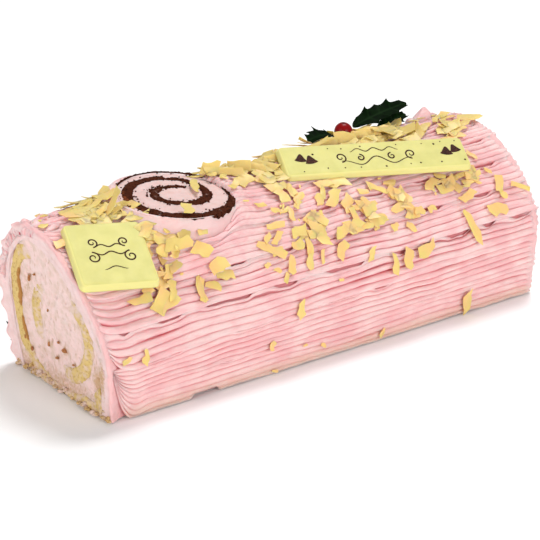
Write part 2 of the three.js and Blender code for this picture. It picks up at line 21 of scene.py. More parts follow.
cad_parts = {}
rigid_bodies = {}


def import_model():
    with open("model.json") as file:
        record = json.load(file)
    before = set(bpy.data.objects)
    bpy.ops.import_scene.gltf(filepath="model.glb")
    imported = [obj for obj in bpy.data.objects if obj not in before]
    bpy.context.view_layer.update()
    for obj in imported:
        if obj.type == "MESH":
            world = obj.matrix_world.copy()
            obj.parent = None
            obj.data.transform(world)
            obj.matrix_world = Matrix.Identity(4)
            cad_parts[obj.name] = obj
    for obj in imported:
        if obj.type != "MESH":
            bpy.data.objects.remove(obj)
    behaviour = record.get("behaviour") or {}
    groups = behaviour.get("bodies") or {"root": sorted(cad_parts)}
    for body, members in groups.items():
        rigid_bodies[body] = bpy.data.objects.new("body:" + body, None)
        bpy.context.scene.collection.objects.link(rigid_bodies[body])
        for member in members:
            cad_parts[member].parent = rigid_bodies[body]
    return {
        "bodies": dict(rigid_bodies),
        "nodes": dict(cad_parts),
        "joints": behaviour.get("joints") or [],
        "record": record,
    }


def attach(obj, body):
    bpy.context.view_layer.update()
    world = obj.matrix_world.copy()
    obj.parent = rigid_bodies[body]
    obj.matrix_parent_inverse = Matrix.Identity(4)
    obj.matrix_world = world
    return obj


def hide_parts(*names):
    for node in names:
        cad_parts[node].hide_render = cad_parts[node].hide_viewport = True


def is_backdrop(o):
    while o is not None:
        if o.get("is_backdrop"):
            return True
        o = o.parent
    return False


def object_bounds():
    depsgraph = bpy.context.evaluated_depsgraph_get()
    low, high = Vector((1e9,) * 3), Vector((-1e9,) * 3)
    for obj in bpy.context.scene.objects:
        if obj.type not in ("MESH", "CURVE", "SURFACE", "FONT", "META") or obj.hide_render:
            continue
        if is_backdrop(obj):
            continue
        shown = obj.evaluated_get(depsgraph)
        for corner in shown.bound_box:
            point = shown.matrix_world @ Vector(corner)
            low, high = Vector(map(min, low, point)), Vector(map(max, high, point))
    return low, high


log = logging.getLogger("yule_log")

Array = np.ndarray
Marks = dict[str, Array]
Rgb = tuple[int, int, int]
Triple = tuple[float, float, float]
Row = tuple[float, ...]
MM = 0.001
BODY = "root"


class Slot(Enum):
    """The record's material slots."""

    BUTTERCREAM = "buttercream"
    SPONGE = "sponge"
    FILLING = "filling"
    CHOCOLATE_SPONGE = "chocolate_sponge"
    WHITE_CHOCOLATE = "white_chocolate"
    SHAVING = "shaving"
    HOLLY = "holly"
    BERRY = "berry"


class End(Enum):
    """The two cut ends of the log, by the way that they face along it."""

    LEANING = -1
    STRAIGHT = 1


# ---- numbers


def blend(first: Array | float, second: Array | float, share: Array | float) -> Array:
    """The straight mix of two values at a share from 0 to 1."""
    return first + (second - first) * share


def ease(value: Array, low: float, high: float) -> Array:
    """A smooth step: 0 below low, 1 above high, and 3t^2 - 2t^3 between them."""
    part = np.clip((value - low) / (high - low), 0, 1)
    return part * part * (3 - 2 * part)


def hump(value: Array, middle: float, width: float) -> Array:
    """A bell of height 1: exp(-((value - middle) / width)^2)."""
    return np.exp(-(((value - middle) / width) ** 2))


def ripple(seed: int, scale: float, *axes: Array | float) -> Array:
    """Smooth random hills from -1 to 1.

    Random numbers sit on a lattice of unit cells, and a point's value blends its
    cell's eight corners with a smooth step along each axis.

    Args:
        seed: which field of hills.
        scale: size of a cell, in the unit of the axes.
        axes: one to three arrays of coordinates, which are broadcast together.

    Returns:
        An array of the broadcast shape.
    """
    spread = np.broadcast_arrays(*axes, *([0.37 * scale] * (3 - len(axes))))
    cells = [np.floor(axis / scale).astype(np.int64) for axis in spread]
    steps = [ease(axis / scale - cell, 0, 1) for axis, cell in zip(spread, cells)]
    total = np.zeros(np.shape(spread[0]))
    for corner in np.ndindex(2, 2, 2):
        mixed = np.full(total.shape, (seed * 668265263) & 0x7FFFFFFF, dtype=np.int64)
        for cell, side, factor in zip(cells, corner, (374761393, 1103515245, 2246822519)):
            mixed = (mixed ^ ((cell + side) * factor)) & 0xFFFFFFFF
            mixed = ((mixed ^ (mixed >> 15)) * 2654435761) & 0xFFFFFFFF
        weight = np.ones(total.shape)
        for step, side in zip(steps, corner):
            weight = weight * (step if side else 1 - step)
        total += weight * ((mixed >> 8) / 8388607.5 - 1)
    return total


def rough(seed: int, scale: float, layers: int, *axes: Array | float) -> Array:
    """Ripples of halving size and strength, added up and kept near -1 to 1."""
    total = sum(ripple(seed + 31 * k, scale / 2**k, *axes) / 2**k for k in range(layers))
    return total / (2 - 0.5 ** (layers - 1))


def turned(**degrees: float) -> Array:
    """The rotation matrix of turns in degrees about the named axes, the outermost first."""
    matrix = np.identity(3)
    for axis, angle in degrees.items():
        matrix = matrix @ np.array(Matrix.Rotation(math.radians(angle), 3, axis.upper()))
    return matrix


# ---- meshes


@dataclass
class Shell:
    """A closed surface in millimetres.

    Attributes:
        points: the corners, one row each.
        faces: arrays of corner numbers, each array with faces of one size.
        marks: what varies over the surface, by name, one value for each corner.
    """

    points: Array
    faces: list[Array]
    marks: Marks = field(default_factory=dict)

    def volume(self) -> float:
        """Six times the signed volume, from each face's fan of triangles."""
        total = 0
        for block in self.faces:
            corners = self.points[block]
            for k in range(1, block.shape[1] - 1):
                normal = np.cross(corners[:, k], corners[:, k + 1])
                total += float(np.sum(corners[:, 0] * normal))
        return total

    def outward(self) -> Shell:
        """The same shell with its faces turned outwards."""
        if self.volume() >= 0:
            return self
        return Shell(self.points, [block[:, ::-1] for block in self.faces], self.marks)

    @staticmethod
    def joined(shells: Sequence[Shell]) -> Shell:
        """Several shells as one, each turned outwards first."""
        faces, start = [], 0
        for shell in shells:
            faces += [block + start for block in shell.outward().faces]
            start += len(shell.points)
        marks = {
            name: np.concatenate([shell.marks[name] for shell in shells])
            for name in shells[0].marks
        }
        return Shell(np.concatenate([shell.points for shell in shells]), faces, marks)


def grid_quads(ids: Array) -> Array:
    """The quads of a grid of corner numbers."""
    corners = [ids[:-1, :-1], ids[1:, :-1], ids[1:, 1:], ids[:-1, 1:]]
    return np.stack(corners, axis=-1).reshape(-1, 4)


def ring_shell(rings: Array, marks: Marks | None = None, looped: bool = False) -> Shell:
    """A closed shell through a row of rings, with a flat face at both ends.

    Args:
        rings: points of shape (rings, corners, 3).
        marks: arrays of shape (rings, corners).
        looped: joins the last ring to the first, instead of the two flat faces.
    """
    count, corners = rings.shape[:2]
    ids = np.arange(count * corners).reshape(count, corners)
    around = np.concatenate([ids, ids[:, :1]], axis=1)
    faces = [grid_quads(around), ids[:1], ids[-1:, ::-1]]
    if looped:
        faces = [grid_quads(np.concatenate([around, around[:1]]))]
    flat = {name: values.ravel() for name, values in (marks or {}).items()}
    return Shell(rings.reshape(-1, 3), faces, flat).outward()


def block_shell(
    counts: tuple[int, int, int],
    surface: Callable[[Array, Array, Array], Array],
    marks: Callable[[Array, Array, Array], Marks] | None = None,
) -> Shell:
    """A closed block whose outside is a function of three shares from 0 to 1.

    The outer points of a lattice of counts cells are kept, and surface says where
    each of them goes.

    Args:
        counts: cells along u, v and w.
        surface: gives points of shape (n, 3) for arrays of u, v and w.
        marks: gives the marks for the same arrays.
    """
    ids = np.arange(np.prod(np.array(counts) + 1)).reshape(*(n + 1 for n in counts))
    sides = [(ids[0], True), (ids[-1], False), (ids[:, 0], False), (ids[:, -1], True)]
    sides += [(ids[:, :, 0], True), (ids[:, :, -1], False)]
    quads = []
    for side, flipped in sides:
        quad = grid_quads(side)
        quads.append(quad[:, ::-1] if flipped else quad)
    used, corners = np.unique(np.concatenate(quads), return_inverse=True)
    u, v, w = (i / n for i, n in zip(np.unravel_index(used, ids.shape), counts))
    found = marks(u, v, w) if marks else {}
    return Shell(surface(u, v, w), [corners.reshape(-1, 4)], found).outward()


def ball(rows: int, columns: int, cap: float) -> Array:
    """Unit vectors in rows, from cap half turns below the equator to as far above it."""
    up = np.linspace(-cap, cap, rows)[:, None] * math.pi
    around = np.linspace(0, 2 * math.pi, columns + 1)[None, :-1]
    flat = np.cos(up)
    return np.stack([flat * np.cos(around), flat * np.sin(around), np.sin(up) + 0 * around], -1)


def lump(middle: Array, axes: Sequence[float], seed: int, turn: float = 0) -> Shell:
    """A small uneven lump: an ellipsoid of few faces whose corners are pushed about.

    Args:
        middle: its centre.
        axes: half sizes along x, y and z.
        seed: which unevenness.
        turn: turn about z, in radians.
    """
    body = ball(4, 7, 0.42)
    body = body * (1 + 0.3 * ripple(seed, 0.8, *np.moveaxis(body, -1, 0)))[..., None]
    body = body * np.array(axes)
    cos, sin = math.cos(turn), math.sin(turn)
    x, y = body[..., 0] * cos - body[..., 1] * sin, body[..., 0] * sin + body[..., 1] * cos
    return ring_shell(np.stack([x, y, body[..., 2]], -1) + middle)


def plain(shell: Shell, marks: Sequence[str], value: float = 0.0) -> Shell:
    """The shell with one value all over for each of some marks."""
    shell.marks = {name: np.full(len(shell.points), value) for name in marks}
    return shell


def make_piece(
    name: str,
    shell: Shell,
    material: bpy.types.Material,
    slot: Slot,
    stands_for: Sequence[str] = (),
    crease: float | None = None,
) -> bpy.types.Object:
    """Writes a shell into a mesh object that rides on the cake.

    Args:
        name: the piece's name.
        shell: the closed surface, in millimetres.
        material: what covers it.
        slot: the record's slot for its finish; not used.
        stands_for: the CAD nodes that it replaces.
        crease: edges sharper than this many degrees stay sharp; None smooths all.

    Returns:
        The new object, at the origin.
    """
    shell = shell.outward()
    sizes = np.concatenate([np.full(len(block), block.shape[1]) for block in shell.faces])
    mesh = bpy.data.meshes.new(name)
    mesh.vertices.add(len(shell.points))
    mesh.vertices.foreach_set("co", (shell.points * MM).astype(np.float32).ravel())
    mesh.loops.add(int(sizes.sum()))
    corners = np.concatenate([block.ravel() for block in shell.faces])
    mesh.loops.foreach_set("vertex_index", corners.astype(np.int32))
    mesh.polygons.add(len(sizes))
    starts = np.concatenate([[0], np.cumsum(sizes)[:-1]])
    mesh.polygons.foreach_set("loop_start", starts.astype(np.int32))
    mesh.update(calc_edges=True)
    mesh.validate()
    for mark, values in shell.marks.items():
        attribute = mesh.attributes.new(mark, "FLOAT", "POINT")
        attribute.data.foreach_set("value", values.astype(np.float32))
    mesh.shade_smooth()
    if crease is not None:
        mesh.set_sharp_from_angle(angle=math.radians(crease))
    mesh.materials.append(material)
    piece = bpy.data.objects.new(name, mesh)
    bpy.context.scene.collection.objects.link(piece)
    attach(piece, BODY)
    if stands_for:
        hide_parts(*stands_for)
    triangles = int((sizes - 2).sum())
    log.info("%s: %d triangles", name, triangles)
    return piece


# ---- finishes


LAMP_SHARE = 0.87  # base colour for each unit of colour seen, as the lamps give a little over 1


def shade(red: int, green: int, blue: int) -> tuple[float, float, float, float]:
    """A colour as the shader wants it, from screen values of 0 to 255 under the lamps."""
    channels = []
    for value in (red, green, blue):
        part = value / 255
        linear = part / 12.92 if part <= 0.04045 else ((part + 0.055) / 1.055) ** 2.4
        channels.append(linear * LAMP_SHARE)
    return (*channels, 1)


def operator(operation: str, flipped: bool = False) -> Callable[[Link, Link | float], Link]:
    """A method of Link that adds one Math node, on its values in order or flipped."""

    def apply(self: Link, other: Link | float) -> Link:
        """The node's output."""
        values = [other, self] if flipped else [self, other]
        return self.sketch.node("ShaderNodeMath", {"operation": operation}, values)

    return apply


class Link:
    """A value in a material, whose arithmetic adds Math nodes."""

    __add__, __radd__ = operator("ADD"), operator("ADD", True)
    __sub__, __rsub__ = operator("SUBTRACT"), operator("SUBTRACT", True)
    __mul__, __rmul__ = operator("MULTIPLY"), operator("MULTIPLY", True)

    def __init__(self, sketch: Sketch, socket: bpy.types.NodeSocket) -> None:
        """Wraps one output socket of the sketch's tree."""
        self.sketch = sketch
        self.socket = socket

    def step(self, low: float, high: float) -> Link:
        """A smooth step from 0 at low to 1 at high."""
        settings = {"interpolation_type": "SMOOTHSTEP"}
        return self.sketch.node("ShaderNodeMapRange", settings, [self, low, high, 0, 1])


class Sketch:
    """A material's node tree while it is drawn."""

    def __init__(self, name: str) -> None:
        """Starts an empty tree in a new material."""
        self.material = bpy.data.materials.new(name)
        self.material.use_nodes = True
        self.tree = self.material.node_tree
        self.tree.nodes.clear()
        coordinates = self.tree.nodes.new("ShaderNodeTexCoord")
        self.place = Link(self, coordinates.outputs["Object"])

    def node(
        self,
        kind: str,
        settings: dict[str, object] | None = None,
        values: Sequence[object] | dict[str, object] = (),
        output: int = 0,
    ) -> Link:
        """Adds a node.

        Args:
            kind: the node's type.
            settings: its properties, set before its sockets are read.
            values: numbers, colours or links for its inputs, in order or by name.
            output: which output is returned.

        Returns:
            The chosen output.
        """
        made = self.tree.nodes.new(kind)
        for key, value in (settings or {}).items():
            setattr(made, key, value)
        pairs = values.items() if isinstance(values, dict) else enumerate(values)
        for key, value in pairs:
            if isinstance(value, Link):
                self.tree.links.new(value.socket, made.inputs[key])
            elif value is not None:
                made.inputs[key].default_value = value
        return Link(self, made.outputs[output])

    def grain(self, size: float, detail: float = 2, stretch: Sequence[float] | None = None) -> Link:
        """Noise with features of a size in millimetres, from 0 to 1.

        Args:
            size: about the size of one feature.
            detail: how many finer layers it has.
            stretch: factors by which the place is scaled along each axis first.
        """
        place = self.place
        if stretch:
            scaled = {"operation": "MULTIPLY"}
            place = self.node("ShaderNodeVectorMath", scaled, [self.place, tuple(stretch)])
        values = {"Vector": place, "Scale": 1 / (size * MM), "Detail": detail}
        return self.node("ShaderNodeTexNoise", None, values)

    def pits(self, size: float) -> Link:
        """Distance to the nearest of many scattered points, 0 at each point."""
        values = {"Vector": self.place, "Scale": 1 / (size * MM)}
        return self.node("ShaderNodeTexVoronoi", None, values)

    def mark(self, name: str) -> Link:
        """One of the mesh's own marks."""
        return self.node("ShaderNodeAttribute", {"attribute_name": name}, output=2)

    def tint(self, share: Link, first: Link | Rgb, second: Link | Rgb) -> Link:
        """A colour between two, by a share."""
        colours = [end if isinstance(end, Link) else shade(*end) for end in (first, second)]
        values = {"Factor": share, 6: colours[0], 7: colours[1]}
        return self.node("ShaderNodeMix", {"data_type": "RGBA"}, values, output=2)

    def relief(self, height: Link, depth: float) -> Link:
        """Bumps as deep as depth millimetres where the height goes from 0 to 1."""
        values = {"Strength": 1, "Distance": depth * MM, "Height": height}
        return self.node("ShaderNodeBump", None, values)

    def cover(
        self, colour: object, roughness: object, normal: Link | None, shine: float,
        inside: tuple[float, Triple, float] | None = None,
    ) -> bpy.types.Material:
        """Ends the tree in a surface shader.

        Args:
            colour: the base colour.
            roughness: the roughness.
            normal: the bumps, if any.
            shine: the specular level.
            inside: weight, radius for each colour and scale of the light let in.
        """
        values = {"Base Color": colour, "Roughness": roughness, "Specular IOR Level": shine}
        if normal is not None:
            values["Normal"] = normal
        if inside:
            names = ("Subsurface Weight", "Subsurface Radius", "Subsurface Scale")
            values.update(zip(names, inside))
        surface = self.node("ShaderNodeBsdfPrincipled", None, values)
        output = self.tree.nodes.new("ShaderNodeOutputMaterial")
        self.tree.links.new(surface.socket, output.inputs["Surface"])
        return self.material


@dataclass(frozen=True)
class Buttercream:
    """Piped pink buttercream: pale on its ridges, with painted shade of deeper pink in its grooves.

    It reads the marks groove, painted shade that is 1 down in the grooves and
    along the seams between ribbons, and foot, 1 where the lowest ribbon has taken
    the colour of the sponge below.
    """

    name: str = "piped_buttercream"
    pale: Rgb = (251, 214, 211)
    pink: Rgb = (245, 190, 191)
    # painted shade: the deep pink laid where shade falls in grooves and seams
    deep: Rgb = (229, 106, 116)
    beige: Rgb = (236, 198, 180)

    def material(self) -> bpy.types.Material:
        """Draws the finish."""
        sketch = Sketch(self.name)
        streaks = sketch.grain(1.5, 4, (0.16, 1, 1))
        cloud = (sketch.grain(14, 3) * 0.6 + streaks * 0.4).step(0.38, 0.62)
        colour = sketch.tint(cloud, self.pale, self.pink)
        foot = (sketch.mark("foot") + (sketch.grain(5) - 0.5) * 0.5).step(0.1, 1.3)
        colour = sketch.tint(foot, colour, self.beige)
        # painted shade: deep pink by the groove mark, weaker on the foot
        groove_shade = sketch.mark("groove_shade").step(0.25, 1)
        colour = sketch.tint(groove_shade * (1 - foot * 0.6), colour, self.deep)
        air = sketch.pits(1.1).step(0, 0.25)
        torn = sketch.grain(2.2, 5, (0.4, 1, 1))
        normal = sketch.relief(streaks * 0.5 + torn * 0.6 + air * 0.3, 0.45)
        return sketch.cover(colour, 0.5, normal, 0.35, (0.5, (1, 0.42, 0.4), 0.0035))


@dataclass(frozen=True)
class SmearedCream:
    """Cream that a knife has dragged over a cut: greyish pink, stained by crumb.

    It reads the marks stain, 1 where crumb or fruit shows, and warm, 1 where it
    takes its pink: the tint of clean piped cream, which on the undercoat is a deep
    pink of painted shade, seen in the cracks between ribbons.
    """

    name: str = "smeared_cream"
    pale: Rgb = (251, 219, 214)
    grey: Rgb = (234, 204, 190)
    pink: Rgb = (246, 168, 172)
    crumb: Rgb = (206, 164, 118)
    scratched: float = 0.0

    def material(self) -> bpy.types.Material:
        """Draws the finish."""
        sketch = Sketch(self.name)
        cloud = sketch.grain(4, 4).step(0.38, 0.72)
        colour = sketch.tint(cloud, self.pale, self.grey)
        # the pink: the cream's own tint, and on the undercoat painted shade for the cracks
        colour = sketch.tint(sketch.mark("warm_and_shade"), colour, self.pink)
        stain = sketch.mark("stain")
        specks = (sketch.grain(1.4, 3) + stain).step(0.72, 1.35)
        colour = sketch.tint(specks * 0.9, colour, self.crumb)
        air = sketch.pits(1.6).step(0, 0.3)
        dragged = sketch.grain(2.6, 5, (1, 1.5, 0.6)).step(0.56, 0.72) * self.scratched
        colour = sketch.tint(dragged, colour, self.crumb)
        normal = sketch.relief(sketch.grain(1.6, 4) + air * 0.4 - dragged * 0.8, 0.4)
        return sketch.cover(colour, 0.55, normal, 0.3, (0.35, (1, 0.5, 0.45), 0.003))


@dataclass(frozen=True)
class Sponge:
    """Porous sponge with a browned skin, partly covered by smeared cream.

    It reads the marks skin, 1 at the browned faces of the sheet, and smear, 1 where
    cream covers the crumb.
    """

    name: str
    light: Rgb
    dark: Rgb
    skin: Rgb
    smear: Rgb = (240, 212, 200)
    pore: float = 1.3
    gloss: float = 0.15

    def material(self) -> bpy.types.Material:
        """Draws the finish."""
        sketch = Sketch(self.name)
        cells = sketch.pits(self.pore).step(0.05, 0.5)
        crumb = (sketch.grain(self.pore * 1.6, 4) * 0.7 + cells * 0.3).step(0.3, 0.68)
        colour = sketch.tint(crumb, self.dark, self.light)
        skin = (sketch.mark("skin") + (sketch.grain(2.6, 3) - 0.5) * 0.7).step(0.45, 0.85)
        colour = sketch.tint(skin, colour, self.skin)
        smear = (sketch.mark("smear") + (sketch.grain(3.2, 4) - 0.5) * 1.7).step(0.2, 0.85)
        colour = sketch.tint(smear, colour, self.smear)
        height = sketch.grain(self.pore, 4) * 0.6 + cells * 0.5
        normal = sketch.relief(height * (1 - smear * 0.7), 0.7)
        return sketch.cover(colour, 0.9, normal, self.gloss)


@dataclass(frozen=True)
class WhiteChocolate:
    """Moulded pale yellow chocolate with a waxy face and a painted highlight on its rounded edges.

    It reads the mark edge, 1 on the rounded rim, where it is lighter: a painted highlight.
    """

    name: str = "moulded_white_chocolate"
    face: Rgb = (216, 210, 130)
    # painted highlight: the lighter colour of the rounded rim
    rim: Rgb = (236, 228, 149)

    def material(self) -> bpy.types.Material:
        """Draws the finish."""
        sketch = Sketch(self.name)
        cloud = sketch.grain(9, 3).step(0.3, 0.7)
        body = sketch.tint(cloud * 0.5, self.face, self.rim)
        # painted highlight along the rim
        colour = sketch.tint(sketch.mark("edge"), body, self.rim)
        dust = sketch.grain(0.8, 2)
        roughness = 0.42 + sketch.grain(5, 2) * 0.14
        normal = sketch.relief(dust, 0.03)
        return sketch.cover(colour, roughness, normal, 0.16, (0.3, (1, 0.8, 0.35), 0.002))


@dataclass(frozen=True)
class Shaving:
    """Thin shaved white chocolate: waxy, slightly see-through, scraped lengthwise.

    It reads the mark tone, from 0 for the greenest shavings to 1 for the warmest,
    which is partly painted shade: olive for flakes on the crown and behind the
    branch, orange for flakes low on the log and under the square plaque.
    """

    name: str = "chocolate_shaving"
    # painted shade in part: olive for shavings on the crown and behind the branch
    olive: Rgb = (227, 199, 121)
    pale: Rgb = (240, 211, 127)
    # painted shade in part: orange for shavings low on the log and under the plaque
    warm_and_shade: Rgb = (252, 202, 132)

    def material(self) -> bpy.types.Material:
        """Draws the finish."""
        sketch = Sketch(self.name)
        # tone and painted shade together: low is olive, high is orange
        tone_and_shade = sketch.mark("tone_and_shade") + (sketch.grain(3, 2) - 0.5) * 0.5
        colour = sketch.tint(tone_and_shade.step(-0.1, 0.4), self.olive, self.pale)
        colour = sketch.tint(tone_and_shade.step(0.3, 1), colour, self.warm_and_shade)
        scraped = sketch.grain(0.9, 3)
        normal = sketch.relief(scraped, 0.08)
        return sketch.cover(colour, 0.42, normal, 0.4, (0.5, (1, 0.75, 0.3), 0.002))


@dataclass(frozen=True)
class HollyLeaf:
    """Dark glossy leaf with paler ribs.

    It reads the mark rib, 1 on the midrib and the side veins.
    """

    name: str = "holly_leaf"
    blade: Rgb = (5, 26, 2)
    dark: Rgb = (2, 14, 1)
    rib: Rgb = (24, 48, 18)

    def material(self) -> bpy.types.Material:
        """Draws the finish."""
        sketch = Sketch(self.name)
        cloud = sketch.grain(3.5, 3).step(0.3, 0.7)
        blade = sketch.tint(cloud, self.dark, self.blade)
        colour = sketch.tint(sketch.mark("rib") * 0.55, blade, self.rib)
        normal = sketch.relief(sketch.grain(1.4, 2), 0.08)
        return sketch.cover(colour, 0.55, normal, 0.02)


@dataclass(frozen=True)
class BerrySkin:
    """Glossy red skin, darker towards the dimple.

    It reads the mark cup, 1 in the dimple at the berry's top.
    """

    name: str = "berry_skin"
    red: Rgb = (142, 10, 12)
    dark: Rgb = (90, 8, 8)

    def material(self) -> bpy.types.Material:
        """Draws the finish."""
        sketch = Sketch(self.name)
        cloud = sketch.grain(2, 2) * 0.25
        colour = sketch.tint(sketch.mark("cup") + cloud, self.red, self.dark)
        normal = sketch.relief(sketch.grain(0.7, 1), 0.02)
        return sketch.cover(colour, 0.3, normal, 0.16)


@dataclass(frozen=True)
class Print:
    """Dark brown decoration printed on the chocolate."""

    name: str = "brown_print"
    strong: Rgb = (44, 18, 12)
    thin: Rgb = (84, 44, 28)

    def material(self) -> bpy.types.Material:
        """Draws the finish."""
        sketch = Sketch(self.name)
        cloud = sketch.grain(0.9, 3).step(0.35, 0.75)
        colour = sketch.tint(cloud, self.strong, self.thin)
        return sketch.cover(colour, 0.6, sketch.relief(cloud, 0.03), 0.12)


# ---- the log's form


@dataclass
class Section:
    """The arch across the log at one end: points and outward normals by distance."""

    reach: Array
    y: Array
    z: Array
    normal_y: Array
    normal_z: Array


@dataclass
class LogShape:
    """The arch that every layer follows, leaning out at one end.

    A distance along the log and a distance round the arch from the front foot give
    a point on it. The leaning end is worn down by a depth, at a place round the arch
    and over a width.
    """

    length: float = 260.0
    width: float = 93.0
    height: float = 84.0
    lean: float = 0.1
    crown_shift: float = 12.0
    foot_share: float = 0.92
    waists: tuple[float, float] = (34, 42)
    roundness: tuple[float, float] = (1.85, 2)
    worn: Triple = (3.3, 146.0, 28.0)
    foot_x: float = -127.306
    middle_y: float = 0.862

    def __post_init__(self) -> None:
        """Works out the arch at both ends."""
        self.ends = [self.section(share) for share in (0, 1)]

    def section(self, share: float) -> Section:
        """The arch at a share of the length.

        Above the waist it is a superellipse: across goes as -cos^p and up as sin^p,
        moved back at the crown. Below, the sides draw in towards the foot.
        """
        waist = blend(*self.waists, share)
        power = 2 / blend(*self.roundness, share)
        half = self.width / 2
        rise = np.linspace(0, 1, 41)[:-1]
        side = half * blend(self.foot_share, 1, np.sin(rise * math.pi / 2))
        angle = np.linspace(0, math.pi, 361)
        up = np.abs(np.sin(angle)) ** power
        across = -half * np.sign(np.cos(angle)) * np.abs(np.cos(angle)) ** power
        y = np.concatenate([-side, across + self.crown_shift * up, side[::-1]])
        z = np.concatenate([waist * rise, blend(waist, self.height, up), waist * rise[::-1]])
        reach = np.concatenate([[0], np.cumsum(np.hypot(np.diff(y), np.diff(z)))])
        slope_y, slope_z = np.gradient(y, reach), np.gradient(z, reach)
        size = np.hypot(slope_y, slope_z)
        return Section(reach, y, z, -slope_z / size, slope_y / size)

    def faces(self) -> tuple[tuple[End, float], ...]:
        """Each cut end with its place along the log."""
        return (End.LEANING, 0), (End.STRAIGHT, self.length)

    def share(self, x: Array | float) -> Array:
        """Share of the length at a place along the log."""
        return np.clip(np.asarray(x) / self.length, 0, 1)

    def total(self, x: Array | float) -> Array:
        """Length of the arch from foot to foot at a place along the log."""
        return blend(self.ends[0].reach[-1], self.ends[1].reach[-1], self.share(x))

    def place(self, x: Array, reach: Array, out: Array | float = 0) -> Array:
        """Points of the row frame, in millimetres.

        Args:
            x: distances along the log.
            reach: distances round the arch from the front foot.
            out: distances out along the normal.

        Returns:
            An array with a last axis of 3.
        """
        x, reach, out = np.broadcast_arrays(x, reach, out)
        part = np.clip(reach / self.total(x), 0, 1)
        values = []
        for name in ("y", "z", "normal_y", "normal_z"):
            rows = [np.interp(part * end.reach[-1], end.reach, getattr(end, name)) for end in self.ends]
            values.append(blend(*rows, self.share(x)))
        y, z, normal_y, normal_z = values
        size = np.hypot(normal_y, normal_z)
        depth, middle, width = self.worn
        out = out - depth * hump(reach, middle, width) * ease(28 - x, 0, 26)
        y = y + normal_y / size * out
        z = np.maximum(z + normal_z / size * out, 0)
        return self.row_frame(x, y, z)

    def moved(self, place: Sequence[float]) -> Array:
        """Row-frame point of a place in the log's measures, without its lean."""
        return np.array(place) + (self.foot_x, self.middle_y, 0)

    def row_frame(self, x: Array, y: Array, z: Array) -> Array:
        """Row-frame points of places in the log, with its lean."""
        lean = self.lean * z * (1 - x / self.length)
        return np.stack([self.foot_x + x - lean, self.middle_y + y, z + 0 * x], axis=-1)

    def crest_height(self, x: Array, y: Array) -> Array:
        """Height of the arch over a place along the log, and across in the row frame."""
        heights = []
        for end, waist in zip(self.ends, self.waists):
            upper = end.z >= waist
            heights.append(np.interp(y - self.middle_y, end.y[upper], end.z[upper]))
        return blend(*heights, self.share(x))


@dataclass
class RollShape:
    """The core inside the coat, and rays from its middle to the coat's lining."""

    log: LogShape
    coat: float = 8.0
    centre: tuple[float, float] = (1.5, 38)

    def __post_init__(self) -> None:
        """Works out how far the lining is from the middle at each clock angle."""
        arch = self.log.section(0.5)
        y = arch.y - arch.normal_y * self.coat
        z = np.maximum(arch.z - arch.normal_z * self.coat, 0)
        floor = np.linspace(y[-1], y[0], 80)[1:-1]
        y, z = np.concatenate([y, floor]), np.concatenate([z, np.zeros(78)])
        angle = np.arctan2(-(y - self.centre[0]), z - self.centre[1]) % (2 * math.pi)
        order = np.argsort(angle)
        self.angles = angle[order]
        self.radii = np.hypot(y - self.centre[0], z - self.centre[1])[order]

    def radius(self, clock: Array) -> Array:
        """Distance from the middle to the lining; clock turns from up to the front."""
        return np.interp(clock % (2 * math.pi), self.angles, self.radii, period=2 * math.pi)

    def point(self, clock: Array, radius: Array) -> tuple[Array, Array]:
        """Places across and up: minus sine and cosine of the clock angle."""
        y = self.centre[0] - np.sin(clock) * radius
        return y, np.maximum(self.centre[1] + np.cos(clock) * radius, 0)


# ---- the rolled core


